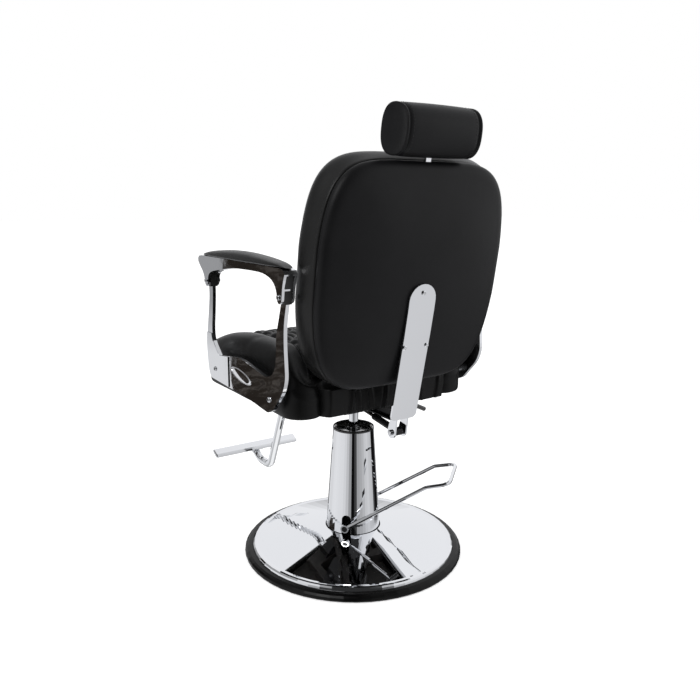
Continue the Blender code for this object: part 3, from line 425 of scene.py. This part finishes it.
def stitches(name, path, closed=False, radius=THREAD_RADIUS):
    """A row of short threads that dip into the leather at both ends, as one mesh."""
    points = resample(path, THREAD_STEP, closed)
    period = STITCH_LENGTH + STITCH_GAP
    verts, faces = [], []
    for k in range(int(len(points) * THREAD_STEP / period)):
        first = int(k * period / THREAD_STEP)
        stretch = points[first:first + int(STITCH_LENGTH / THREAD_STEP) + 1]
        if len(stretch) < 3:
            continue
        direction = (stretch[-1] - stretch[0]).normalized()
        side = direction.orthogonal().normalized()
        up = direction.cross(side)
        rows = []
        for i, point in enumerate(stretch):
            t = i / (len(stretch) - 1)
            swell = radius * (0.35 + 0.65 * math.sin(math.pi * t))
            rows.append([point + side * (swell * math.cos(math.pi * q / 3))
                         + up * (swell * math.sin(math.pi * q / 3)) for q in range(6)])
        new_verts, new_faces = skin(rows)
        base = len(verts)
        verts += new_verts
        faces += [tuple(index + base for index in face) for face in new_faces]
    return link_mesh(name, verts, faces, THREAD)


def puff(piece, held, pressure=4.0, cap=0.008, frames=16, softness=1.0):
    """Cloth simulation: inflates a closed mesh, held where held(co) says, then bakes it in."""
    mesh = piece.data
    start = np.array([v.co for v in mesh.vertices], float)
    hold = np.array([held(Vector(co)) for co in start])
    group = piece.vertex_groups.new(name="held")
    for i, weight in enumerate(hold):
        group.add([i], float(weight), "REPLACE")
    modifier = piece.modifiers.new("cloth", "CLOTH")
    settings = modifier.settings
    settings.quality = 5
    settings.mass = 0.4
    settings.tension_stiffness = 12 * softness
    settings.compression_stiffness = 12 * softness
    settings.shear_stiffness = 6 * softness
    settings.bending_stiffness = 0.8
    settings.use_pressure = True
    settings.uniform_pressure_force = pressure
    settings.vertex_group_mass = "held"
    settings.pin_stiffness = 1.0
    settings.effector_weights.gravity = 0.0
    modifier.collision_settings.use_collision = False
    modifier.collision_settings.use_self_collision = False
    modifier.point_cache.frame_start = 1
    modifier.point_cache.frame_end = frames
    for step in range(1, frames + 1):
        scene.frame_set(step)
    evaluated = piece.evaluated_get(bpy.context.evaluated_depsgraph_get())
    moved = np.array([v.co for v in evaluated.data.vertices], float)
    shift = moved - start
    length = np.linalg.norm(shift, axis=1)
    limited = cap * np.tanh(length / cap)
    factor = np.where(length > 1e-9, limited / np.maximum(length, 1e-9), 0.0)
    result = start + shift * (factor * (1 - hold))[:, None]
    piece.modifiers.remove(modifier)
    piece.vertex_groups.remove(group)
    mesh.vertices.foreach_set("co", result.astype(np.float32).ravel())
    mesh.update()
    scene.frame_set(1)


def inflate(piece, held, **settings):
    puff(piece, held, **settings)


def subdivide(piece, levels=1):
    modifier = piece.modifiers.new("smooth", "SUBSURF")
    modifier.levels = levels
    modifier.render_levels = levels


def roughen(piece, amount, scale, seed):
    """Slow unevenness of a hand-upholstered surface, along the normals."""
    mesh = piece.data
    offset = Vector((seed * 7.3, seed * 3.1, seed * 1.7))
    normals = [v.normal.copy() for v in mesh.vertices]
    for vertex, normal in zip(mesh.vertices, normals):
        vertex.co += normal * (amount * noise.noise(vertex.co * scale + offset))
    mesh.update()


# ---- seat --------------------------------------------------------------------------------
def rounded_plan(half, front, rear, radius, straight=26, corner=9):
    """Points round a rounded rectangle, always the same number whatever its size."""
    radius = max(radius, 0.004)
    middles = ((half - radius, rear - radius, 0), (radius - half, rear - radius, 1),
               (radius - half, front + radius, 2), (half - radius, front + radius, 3))
    points = []
    for k, (x, y, quarter) in enumerate(middles):
        for i in range(corner):
            angle = (quarter + i / (corner - 1)) * math.pi / 2
            points.append(Vector((x + radius * math.cos(angle), y + radius * math.sin(angle))))
        after = middles[(k + 1) % 4]
        angle = (quarter + 1) * math.pi / 2
        start = points[-1]
        end = Vector((after[0] + radius * math.cos(angle), after[1] + radius * math.sin(angle)))
        points += [start.lerp(end, (i + 1) / (straight + 1)) for i in range(straight)]
    return points


def seat_crest(x, y):
    """Height of the bolsters: a rounded front edge, a flat run, and a fall under the back."""
    front = 0.86 * max(0.0, -0.085 - y) ** 2
    middle = 0.090 * smoothstep(0.050, 0.124, y)
    wing = 0.082 * smoothstep(0.066, 0.152, y)
    share = smoothstep(0.205, 0.258, abs(x))
    return SEAT_CREST - front - middle * (1 - share) - wing * share


def seat_recess(x, y, z):
    """How far the wrapped seat's rear wall steps forward, to leave room for the hinges."""
    across = 1 - smoothstep(RECESS_HALF - 0.006, RECESS_HALF + 0.022, abs(x))
    under_back = smoothstep(0.498, 0.530, z)
    return (0.0215 + 0.0215 * under_back) * across * smoothstep(0.0, 0.140, y)


def seat_rows():
    """Rows from the hidden inner ceiling, down inside the wall, up the side and over the top."""
    rows = []
    for inset, z in ((0.0185, 0.5075), (0.0175, 0.5040), (0.0170, 0.4500), (0.0160, 0.4432)):
        rows.append([Vector((p.x, p.y - seat_recess(p.x, p.y, 0.45) - 0.0012, z))
                     for p in rounded_plan(SEAT_HALF - inset, SEAT_FRONT + 0.010 + inset,
                                           SEAT_REAR - inset, 0.045 - inset)])
    for inset, share in ((0.0120, 0.0), (0.0060, 0.004), (0.0022, 0.025), (0.0004, 0.08),
                         (0.0, 0.18), (0.0, 0.30), (0.0002, 0.42), (0.0003, 0.54), (0.0, 0.66),
                         (-0.0008, 0.78), (0.0, 0.88), (0.0022, 0.945)):
        rows.append(side_row(inset, share))
    for turn in (18, 36, 54, 72, 90):
        angle = math.radians(turn)
        rows.append(top_row(0.0022 + 0.0230 * (1 - math.cos(angle)), 0.0210 * (1 - math.sin(angle))))
    for inset, drop in ((0.0330, 0.0), (0.0420, 0.0005), (0.0500, 0.0018), (0.0560, 0.0038),
                        (0.0610, 0.0068), (0.0645, 0.0105), (BOLSTER_WIDTH, 0.0165),
                        (BOLSTER_WIDTH + 0.006, 0.0240)):
        rows.append(top_row(inset, drop))
    return rows


def side_row(inset, share):
    row = []
    lean = 0.010 * (1 - share)
    for p in rounded_plan(SEAT_HALF - inset, SEAT_FRONT + inset + lean, SEAT_REAR - inset,
                          SEAT_CORNER):
        top = seat_crest(p.x, p.y) - 0.022
        z = SEAT_BOTTOM + (top - SEAT_BOTTOM) * share
        row.append(Vector((p.x, p.y - seat_recess(p.x, p.y, z), z)))
    return row


def top_row(inset, drop):
    row = []
    radius = max(SEAT_CORNER - inset * 0.45, 0.020)
    for p in rounded_plan(SEAT_HALF - inset, SEAT_FRONT + inset, SEAT_REAR - inset, radius):
        z = seat_crest(p.x, p.y) - drop * (1 - 0.9 * smoothstep(0.050, 0.105, p.y))
        row.append(Vector((p.x, p.y - seat_recess(p.x, p.y, z), z)))
    return row


def seat_seam_path(inset=BOLSTER_WIDTH - 0.0045, drop=0.0088):
    """The bolster's seam, from under the back on one side round the front to the other."""
    row = top_row(inset, drop)
    middle = max(range(len(row)), key=lambda i: row[i].y - 0.2 * abs(row[i].x))
    row = row[middle:] + row[:middle]
    return [point for point in row if point.y < 0.085]


def make_seat():
    verts, faces = skin(seat_rows())
    body = link_mesh("seat_upholstery", verts, faces, LEATHER_SEAT)

    def held(co):
        top = seat_crest(co.x, co.y)
        inset = min(SEAT_HALF - abs(co.x), co.y - SEAT_FRONT, SEAT_REAR - co.y)
        at_seam = groove(inset - BOLSTER_WIDTH, 0.012) if co.z > top - 0.04 else 0.0
        low = 1 - smoothstep(0.470, 0.520, co.z)
        rear = smoothstep(0.060, 0.095, co.y)
        inside = 1.0 if co.z < 0.512 and inset > 0.012 else 0.0
        return min(1.0, max(at_seam, low, rear, inside))

    inflate(body, held, pressure=4.0, cap=0.0045, frames=12)
    roughen(body, 0.0009, 11.0, 1)
    subdivide(body)
    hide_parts("seat_cushion", "seat_skirt")
    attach(body, "seat")

    quilt = quilted_pad("seat_quilt", seat_quilt_point, 0.2055, 0.0115, LEATHER_SEAT,
                        SEAT_FRONT + BOLSTER_WIDTH - 0.004, 0.1010)
    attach(quilt, "seat")

    seam = tube("seat_seam_piping", resample(seat_seam_path(), 0.006), PIPING_RADIUS,
                LEATHER_SEAT)
    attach(seam, "seat")
    thread = stitches("seat_top_stitch", seat_seam_path(0.0565, 0.0032))
    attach(thread, "seat")


def seat_quilt_point(u, v):
    """A point of the seat's top between the bolsters, before quilting, with its normal."""
    z = seat_crest(u, v) - 0.0125
    slope = (seat_crest(u, v + 0.002) - seat_crest(u, v - 0.002)) / 0.004
    return Vector((u, v, z)), Vector((0, -slope, 1)).normalized()


def quilted_pad(name, surface, half, height, material, v_low, v_high, pitch=QUILT_PITCH,
                rounding=0.030, step=0.0042):
    """A pad sewn through in diamonds: a fine grid whose stitch lines stay down."""
    columns = int(2 * half / step)
    rows = int((v_high - v_low) / step)
    verts = []
    for side in (1, 0):
        for r in range(rows + 1):
            for c in range(columns + 1):
                u = -half + 2 * half * c / columns
                v = v_low + (v_high - v_low) * r / rows
                edge = min(half - abs(u), v - v_low, v_high - v)
                corner = rounding - min(rounding, edge + 0.004)
                point, normal = surface(u, v)
                rise = height * quilting(u, v - v_low, pitch) * smoothstep(-0.004, 0.016, edge)
                dip = 0.55 * corner ** 2 / rounding
                level = (rise - dip) if side else -0.012 - dip
                verts.append(point + normal * level)
    return link_mesh(name, verts, double_grid(columns, rows), material)


# ---- back --------------------------------------------------------------------------------
def back_outline(inset=0.0, sides=200):
    """(x, s) points of the back's outline: tight corners between sides bulging like a barrel's."""
    points = []
    for i in range(sides):
        angle = 2 * math.pi * (i + 0.5) / sides
        cosine, sine = math.cos(angle), math.sin(angle)
        height = (BACK_HIGH - BACK_MID if sine > 0 else BACK_MID - BACK_LOW) - inset
        rise = height * math.copysign(abs(sine) ** (2 / CORNER_POWER), sine)
        across = BACK_HALF * (1 - BACK_BARREL * rise ** 2) - inset
        points.append((across * math.copysign(abs(cosine) ** (2 / CORNER_POWER), cosine),
                       BACK_MID + rise))
    even = resample([Vector((x, s, 0)) for x, s in points], None, True, sides)
    return [(point.x, point.y) for point in even]


def back_row(inset, depth):
    """The outline at one depth: the band flares forward from its rear seam, not at the bottom."""
    flare = BACK_FLARE * (1 - smoothstep(-0.012, BAND_SEAM_DEPTH, depth))
    wider = 1 + flare / BACK_HALF
    taller = 1 + flare / (BACK_HIGH - BACK_MID)
    return [BACK_FRAME @ Vector((x * wider, depth, BACK_MID + (s - BACK_MID) * taller
                                 if s > BACK_MID else s)) for x, s in back_outline(inset)]


def make_back():
    """The upholstered body of the back: front bolster and side band, up to its rear seam."""
    profile = [(0.0300, BAND_SEAM_DEPTH), (0.0120, BAND_SEAM_DEPTH + 0.0008),
               (0.0046, BAND_SEAM_DEPTH + 0.0002), (0.0022, BAND_SEAM_DEPTH - 0.0010),
               (0.0006, 0.0372), (0.0, 0.0330), (-0.0006, 0.0240), (-0.0012, 0.0120),
               (-0.0012, 0.0010), (-0.0006, -0.0080), (0.0006, -0.0160), (0.0030, -0.0232),
               (0.0072, -0.0295), (0.0128, -0.0342), (0.0197, -0.0379), (0.0280, -0.0405),
               (0.0380, -0.0412), (0.0470, -0.0400), (0.0540, -0.0375), (0.0590, -0.0340),
               (0.0620, -0.0290), (0.0660, -0.0200)]
    rows = [back_row(inset, depth) for inset, depth in profile]
    verts, faces = skin(rows)
    body = link_mesh("back_upholstery", verts, faces, LEATHER_BAND)
    to_local = BACK_FRAME.inverted()

    def held(co):
        local = to_local @ co
        seam = groove(local.y - BAND_SEAM_DEPTH, 0.006)
        inner = smoothstep(0.050, 0.060, back_inset(local.x, local.z))
        return min(1.0, max(seam, inner))

    inflate(body, held, pressure=4.0, cap=0.0035, frames=12)
    roughen(body, 0.0008, 10.0, 2)
    subdivide(body)
    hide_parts("back_cushion")
    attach(body, "back")

    thread = stitches("back_band_stitch", back_row(-0.0002, BAND_SEAM_DEPTH - 0.0062), closed=True)
    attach(thread, "back")
    return body


def back_inset(x, s):
    """Roughly how far a point lies inside the back's outline."""
    height = BACK_HIGH - BACK_MID if s > BACK_MID else BACK_MID - BACK_LOW
    across = BACK_HALF * (1 - BACK_BARREL * (s - BACK_MID) ** 2)
    ratio = (abs(x / across) ** CORNER_POWER
             + abs((s - BACK_MID) / height) ** CORNER_POWER) ** (1 / CORNER_POWER)
    return (1 - ratio) * BACK_HALF


def make_back_panel():
    """The rear shell: a padded board whose cover turns over its edge down to the band's seam."""
    profile = [(0.0300, 0.0420), (0.0120, 0.0416), (0.0046, 0.0420), (0.0022, 0.0432),
               (0.0010, 0.0455), (0.0012, 0.0490), (0.0024, 0.0530), (0.0048, 0.0570),
               (0.0084, 0.0604), (0.0132, 0.0631), (0.0192, 0.0652), (0.0265, 0.0669),
               (0.0350, 0.0684)]
    rows = [back_row(inset, depth) for inset, depth in profile]
    edge = 0.0350
    for share in (0.95, 0.90, 0.84, 0.77, 0.70, 0.62, 0.54, 0.46, 0.36, 0.26, 0.16, 0.08, 0.03):
        depth = 0.0684 + 0.0202 * (1 - share ** 2.3)
        rows.append(panel_row(edge, share, depth))
    verts, faces = skin(rows)
    panel = link_mesh("back_rear_shell", verts, faces, LEATHER_BACK)
    roughen(panel, 0.0007, 7.0, 3)
    subdivide(panel)
    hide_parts("back_panel")
    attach(panel, "back")


def panel_row(edge, share, depth):
    return [BACK_FRAME @ Vector((x * share, depth, BACK_MID + (s - BACK_MID) * share))
            for x, s in back_outline(edge)]


def back_quilt_point(u, v):
    normal = (BACK_FRAME.to_3x3() @ Vector((0, -1, 0))).normalized()
    crown = 0.006 * (1 - (u / 0.21) ** 2)
    return BACK_FRAME @ Vector((u, -0.0305 - crown, v)), normal


def make_back_front():
    """The quilted front of the back, clipped to the outline inside its bolster."""
    rows = []
    outline = back_outline(QUILT_SEAM)
    count = 54
    for k in range(count + 1):
        share = 1 - 0.985 * k / count
        row = []
        for x, s in outline:
            u, v = x * share, BACK_MID + (s - BACK_MID) * share
            point, normal = back_quilt_point(u, v)
            inside = back_inset(u, v) - QUILT_SEAM
            rise = 0.0105 * quilting(u, v) * smoothstep(-0.002, 0.016, inside)
            row.append(point + normal * (rise - 0.010 * (1 - smoothstep(-0.004, 0.010, inside))))
        rows.append(row)
    base = [BACK_FRAME @ Vector((x, -0.0180, s)) for x, s in outline]
    verts, faces = skin([base] + rows)
    quilt = link_mesh("back_quilt", verts, faces, LEATHER_SEAT)
    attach(quilt, "back")
    piping = tube("back_seam_piping", resample(back_row(0.0600, -0.0335), 0.006, True),
                  PIPING_RADIUS, LEATHER_SEAT, closed=True)
    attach(piping, "back")


# ---- headrest ----------------------------------------------------------------------------
def head_section(x, grow=0.0, sides=72):
    """The headrest's oval section at x: fuller in front, flatter behind."""
    row = []
    for i in range(sides):
        angle = 2 * math.pi * i / sides
        cosine, sine = math.cos(angle), math.sin(angle)
        y = (HEAD_DEPTH / 2 + grow) * math.copysign(abs(cosine) ** (2 / HEAD_POWER), cosine)
        s = (HEAD_HEIGHT / 2 + grow) * math.copysign(abs(sine) ** (2 / HEAD_POWER), sine)
        y -= 0.004 * (s / 0.0545) ** 2 * (1 if cosine > 0 else -0.5)
        row.append(BACK_FRAME @ Vector((x, HEAD_CENTRE.y + y, HEAD_CENTRE.z + s)))
    return row


def make_headrest():
    profile = [(-0.0035, -0.0290), (-0.0020, -0.0170), (0.0005, -0.0080), (0.0020, -0.0030),
               (0.0020, -0.0008), (0.0, 0.0002), (-0.0035, -0.0006), (-0.0060, -0.0030),
               (-0.0072, -0.0034), (-0.0090, -0.0014), (-0.0130, -0.0002), (-0.0220, 0.0004),
               (-0.0380, 0.0008), (-0.0600, 0.0011), (-0.0850, 0.0012)]
    half = HEAD_HALF - 0.0010
    rows = [head_section(-(half + x), grow) for x, grow in profile]
    rows += [head_section(half + x, grow) for x, grow in reversed(profile)]
    verts, faces = skin(rows)
    body = link_mesh("headrest_upholstery", verts, faces, LEATHER_BACK)

    def held(co):
        return groove(abs(co.x) - HEAD_SEAM + 0.0030, 0.006)

    inflate(body, held, pressure=4.0, cap=0.0030, frames=12)
    roughen(body, 0.0007, 14.0, 4)
    subdivide(body)
    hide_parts("headrest_cushion")
    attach(body, "headrest")
    for side in (-1, 1):
        label = "left" if side > 0 else "right"
        thread = stitches(f"headrest_stitch_{label}",
                          head_section(side * (HEAD_SEAM - 0.0100), 0.0002), closed=True)
        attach(thread, "headrest")


# ---- arm pads ----------------------------------------------------------------------------
def make_arm_pad(label):
    low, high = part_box(f"arm_pad_{label}")
    middle = (low.x + high.x) / 2
    half = (high.x - low.x) / 2
    crown = high.z - low.z
    length = high.y - low.y
    rows = []
    steps = 44
    for i in range(steps + 1):
        t = 0.012 + 0.976 * i / steps
        y = low.y + length * (0.5 - 0.5 * math.cos(math.pi * t))
        along = 0.5 - 0.5 * math.cos(math.pi * t)
        plan = (1 - abs(2 * along - 1) ** 3.4) ** (1 / 2.2)
        height = crown * math.sin(math.pi * along) ** 0.62
        edge = 0.0050 * min(1.0, height / 0.01)
        row = []
        for k in range(36):
            angle = 2 * math.pi * k / 36
            cosine, sine = math.cos(angle), math.sin(angle)
            x = half * plan * math.copysign(abs(cosine) ** 0.72, cosine)
            if sine >= 0:
                z = low.z + edge + (height - 0.0050) * sine ** 0.92
            else:
                z = low.z + edge * (1 + math.copysign(abs(sine) ** 0.5, sine))
                x *= 1 - 0.16 * abs(sine)
            row.append(Vector((middle + x, y, max(z, low.z))))
        rows.append(row)
    verts, faces = skin(rows)
    pad = link_mesh(f"arm_pad_cover_{label}", verts, faces, LEATHER_PAD)
    roughen(pad, 0.0004, 20.0, 5)
    subdivide(pad)
    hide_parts(f"arm_pad_{label}")
    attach(pad, "seat")


# ---- pleated flap ------------------------------------------------------------------------
def make_flap():
    """The soft panel between the seat and the back, with pressed pleats that lean a little."""
    low, high = SEAT_BOTTOM + 0.0012, 0.5125
    columns, levels = 180, 18
    outer = []
    for r in range(levels + 1):
        v = r / levels
        z = low + (high - low) * v
        for c in range(columns + 1):
            x = -FLAP_HALF + 2 * FLAP_HALF * c / columns
            fold = 0.0
            for k, centre in enumerate(FLAP_PLEATS):
                lean = 0.012 * (v - 0.5) * (1 if k % 3 else -0.4)
                d = x - centre - lean
                fold += 0.0032 * groove(d, 0.0042) - 0.0024 * groove(d - 0.0075, 0.0035)
            sag = 0.0035 * math.sin(math.pi * v)
            ends = smoothstep(0.0, 0.034, FLAP_HALF - abs(x))
            y = FLAP_HIGH.y - 0.0430 * (1 - ends) - 0.004 * (1 - v) + sag * ends + fold * ends
            outer.append(Vector((x, y, z)))
    inner = [point - Vector((0, FLAP_THICKNESS, 0)) for point in outer]
    flap = link_mesh("rear_flap_cover", outer + inner, double_grid(columns, levels), LEATHER_SEAT)
    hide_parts("rear_flap")
    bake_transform(flap)


# ---- hard pieces -------------------------------------------------------------------------
def bevel_nodes():
    """Small rounded edges that catch the light on castings, plate and fittings."""
    widths = {"arm_casting_left": 0.0016, "arm_casting_right": 0.0016, "arm_rail_left": 0.0020,
              "arm_rail_right": 0.0020, "back_plate": 0.0008, "footrest_bar": 0.0012,
              "fork_block_front_left": 0.0010, "fork_block_front_right": 0.0010,
              "fork_block_rear_left": 0.0010, "fork_block_rear_right": 0.0010,
              "footrest_receiver": 0.0012, "column_cap": 0.0005}
    for name, width in widths.items():
        modifier = nodes[name].modifiers.new("edge", "BEVEL")
        modifier.width = width
        modifier.segments = 3
        modifier.limit_method = "ANGLE"
        modifier.angle_limit = math.radians(50)
        modifier.harden_normals = False


def make_oval(label, side):
    """The blank oval raised on each arm's lower panel: a ridge round a shallow swelling."""
    centre = Vector((side * 0.3025, -0.0590, 0.5180))
    along = Vector((0, 0.112, -0.016)).normalized()
    across = Vector((0, 0.016, 0.112)).normalized()
    ring = []
    for i in range(72):
        angle = 2 * math.pi * i / 72
        ring.append(centre + along * (OVAL_HALF_LENGTH * math.cos(angle))
                    + across * (OVAL_HALF_HEIGHT * math.sin(angle)))
    ridge = tube(f"arm_oval_ridge_{label}", ring, 0.0007, CHROME_CAST, closed=True)
    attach(ridge, "seat")
    rows = []
    for share, rise in ((1.0, -0.0012), (1.0, 0.0002), (0.8, 0.0007), (0.5, 0.0012), (0.2, 0.0014)):
        rows.append([centre + (point - centre) * share + Vector((side * rise, 0, 0)) for point in ring])
    verts, faces = skin(rows)
    swelling = link_mesh(f"arm_oval_{label}", verts, faces, CHROME_CAST)
    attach(swelling, "seat")


def outer_point(name, direction):
    """The middle of the face of a node that lies furthest along a direction."""
    points = [Vector(vertex.co) for vertex in nodes[name].data.vertices]
    furthest = max(point.dot(direction) for point in points)
    face = [point for point in points if point.dot(direction) > furthest - 0.0004]
    return sum(face, Vector()) / len(face)


def make_recess_shade(name, direction, body, size=0.0033, turn=0.5):
    """A thin black cross set in a screw's head, a hair proud of its face: painted shade that stands for
    its cross recess.
    """
    across = direction.orthogonal().normalized()
    across.rotate(Matrix.Rotation(turn, 3, direction))
    up = direction.cross(across)
    arm = 0.22 * size
    outline = [(size, arm), (arm, arm), (arm, size), (-arm, size), (-arm, arm), (-size, arm),
               (-size, -arm), (-arm, -arm), (-arm, -size), (arm, -size), (arm, -arm), (size, -arm)]
    top = outer_point(name, direction)
    rows = [[top + across * a + up * b + direction * depth for a, b in outline]
            for depth in (-0.0012, 0.00012)]
    verts, faces = skin(rows)
    # painted shade: black where the recess of the chrome head lies in shadow
    cross = link_mesh(f"{name}_cross", verts, faces, BLACK_BLOCK, smooth=False)
    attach(cross, body)


# painted shade in the cross recesses of the back plate's screws and the arm screws
def add_screw_recess_shades():
    rear = (BACK_FRAME.to_3x3() @ Vector((0, 1, 0))).normalized()
    for k, label in enumerate(("top", "left", "right")):
        make_recess_shade(f"plate_screw_{label}", rear, "back", turn=0.4 + 0.5 * k)
    for end in ("front", "rear"):
        for label, side in (("left", 1), ("right", -1)):
            make_recess_shade(f"arm_screw_{end}_{label}", Vector((side, 0, 0)), "seat", turn=0.3 * side)


# ---- studio ------------------------------------------------------------------------------
def emission_material(name, colour, strength=1.0):
    material = bpy.data.materials.new(name)
    material.use_nodes = True
    tree = material.node_tree
    tree.nodes.clear()
    glow = add_node(tree, "ShaderNodeEmission", {"Color": (*colour, 1), "Strength": strength})
    out = add_node(tree, "ShaderNodeOutputMaterial")
    tree.links.new(glow.outputs[0], out.inputs["Surface"])
    return material


def only_in_reflections(piece):
    piece.visible_camera = False
    piece.visible_diffuse = False
    piece.visible_transmission = False
    piece.visible_volume_scatter = False
    piece.visible_shadow = False


def make_reflector():
    """A drum of soft panels round the chair, seen only in reflections."""
    sides, levels, radius = 180, 24, 3.2
    verts, faces = [], []
    for r in range(levels + 1):
        elevation = math.radians(-60 + 150 * r / levels)
        for c in range(sides):
            azimuth = 2 * math.pi * c / sides
            verts.append((radius * math.cos(elevation) * math.cos(azimuth),
                          radius * math.cos(elevation) * math.sin(azimuth),
                          0.5 + radius * math.sin(elevation)))
    for r in range(levels):
        for c in range(sides):
            d = (c + 1) % sides
            faces.append((r * sides + c, r * sides + d, (r + 1) * sides + d, (r + 1) * sides + c))
    drum = link_mesh("reflector_drum", verts, faces, emission_material("drum", (1, 1, 1)))
    mesh = drum.data
    layer = mesh.color_attributes.new("tone", "FLOAT_COLOR", "POINT")
    for i, vertex in enumerate(mesh.vertices):
        azimuth = math.degrees(math.atan2(vertex.co.y, vertex.co.x)) % 360
        elevation = math.degrees(math.asin(max(-1, min(1, (vertex.co.z - 0.5) / radius))))
        layer.data[i].color = (*drum_tone(azimuth, elevation), 1)
    tree = mesh.materials[0].node_tree
    tone = add_node(tree, "ShaderNodeAttribute", attribute_name="tone")
    glow = next(node for node in tree.nodes if node.type == "EMISSION")
    tree.links.new(tone.outputs["Color"], glow.inputs["Color"])
    only_in_reflections(drum)


def stepped(stops, azimuth):
    for (start, first), (end, last) in zip(stops, stops[1:]):
        if start <= azimuth <= end:
            return first + (last - first) * smoothstep(start, end, azimuth)
    return stops[-1][1]


def drum_tone(azimuth, elevation):
    """Brightness of the drum: pale walls, a dark strip where the camera is, a dark far side."""
    wall = stepped(((0, 0.80), (20, 0.72), (38, 0.42), (47, 0.16), (49, 0.004), (66, 0.004),
                    (69, 0.34), (90, 0.44), (128, 0.68), (150, 0.58), (164, 0.52), (168, 0.006),
                    (198, 0.006), (212, 0.38), (246, 0.42), (256, 0.006), (271, 0.006),
                    (275, 0.92), (290, 0.74), (320, 0.85), (360, 0.80)), azimuth)
    sky = stepped(((0, 0.80), (12, 0.40), (28, 0.03), (88, 0.03), (104, 0.48), (122, 0.84),
                   (200, 0.92), (270, 0.90), (284, 0.34), (334, 0.34), (350, 0.78), (360, 0.80)),
                  azimuth)
    camera_side = smoothstep(10, 28, azimuth) * smoothstep(106, 88, azimuth)
    overhead = smoothstep(48, 66, elevation) * (1 - camera_side * smoothstep(84, 76, elevation))
    sky = sky * (1 - overhead) + 0.62 * overhead
    high = smoothstep(-10, -6, elevation)
    floor = smoothstep(-33, -46, elevation) if elevation < -20 else 0.0
    level = wall * (1 - high) + sky * high
    level = level * (1 - floor) + 0.50 * floor
    return (level * 0.985, level * 0.99, level * 1.01)


def make_card(name, start, along, width, low, high):
    """A standing dark card with a few pale streaks, that only mirrors see."""
    along = Vector((along[0], along[1], 0)).normalized()
    a = Vector((start[0], start[1], low))
    rise = Vector((0, 0, high - low))
    material = emission_material(name, (1, 1, 1))
    tree = material.node_tree
    place = add_node(tree, "ShaderNodeTexCoord").outputs["Object"]
    bent = add_node(tree, "ShaderNodeMapping", {"Vector": place, "Scale": (2.2, 2.2, 7.5)})
    streaks = add_node(tree, "ShaderNodeTexNoise", {"Vector": bent.outputs[0], "Scale": 2.4,
                                                    "Detail": 2.5, "Distortion": 1.6}).outputs["Fac"]
    glow = next(node for node in tree.nodes if node.type == "EMISSION")
    tones = ramp(tree, streaks, [(0.0, (0.010, 0.008, 0.007)), (0.50, (0.022, 0.018, 0.015)),
                                 (0.565, (0.070, 0.062, 0.056)), (0.60, (0.020, 0.017, 0.015)),
                                 (0.72, (0.034, 0.029, 0.026))])
    tree.links.new(tones, glow.inputs["Color"])
    card = link_mesh(name, [a, a + along * width, a + along * width + rise, a + rise],
                     [(0, 1, 2, 3)], material, smooth=False)
    only_in_reflections(card)


def make_floor():
    material, tree, shader = new_material("floor_paper")
    shader.inputs["Base Color"].default_value = (0.93, 0.93, 0.93, 1)
    shader.inputs["Roughness"].default_value = 1.0
    shader.inputs["Specular IOR Level"].default_value = 0.0
    shader.inputs["Emission Color"].default_value = (1, 1, 1, 1)
    shader.inputs["Emission Strength"].default_value = 0.34
    size = 30.0
    floor = link_mesh("floor", [(-size, -size, -0.0005), (size, -size, -0.0005),
                                (size, size, -0.0005), (-size, size, -0.0005)],
                      [(0, 1, 2, 3)], material, smooth=False)
    floor.visible_glossy = False


def make_world():
    world = bpy.data.worlds.new("studio")
    scene.world = world
    world.use_nodes = True
    background = world.node_tree.nodes["Background"]
    background.inputs["Color"].default_value = (1, 1, 1, 1)
    background.inputs["Strength"].default_value = 1.0


def area_light(name, place, target, size, power, colour=(1, 1, 1), glossy=True):
    data = bpy.data.lights.new(name, "AREA")
    data.shape = "RECTANGLE"
    data.size, data.size_y = size
    data.energy = power
    data.color = colour
    light = bpy.data.objects.new(name, data)
    scene.collection.objects.link(light)
    light.location = place
    light.rotation_euler = (Vector(target) - Vector(place)).to_track_quat("-Z", "Y").to_euler()
    light.visible_glossy = glossy
    light.visible_camera = False


def make_studio():
    make_world()
    make_floor()
    make_reflector()
    make_card("dark_card", (0.885, -1.402), (0.899, 0.438), 0.90, -0.05, 0.76)
    area_light("key", (2.2, 1.0, 2.4), (0, 0, 0.6), (1.4, 1.4), 26.0)
    area_light("fill", (-2.4, 1.8, 1.6), (0, 0, 0.6), (1.6, 1.6), 10.0)
    scene.view_settings.view_transform = "Standard"
    scene.view_settings.look = "None"


# ---- everything --------------------------------------------------------------------------
make_camera()
finish_nodes()
bevel_nodes()
make_seat()
make_back()
make_back_panel()
make_back_front()
make_headrest()
make_arm_pad("left")
make_arm_pad("right")
make_flap()
make_oval("left", 1)
make_oval("right", -1)
add_screw_recess_shades()
make_studio()
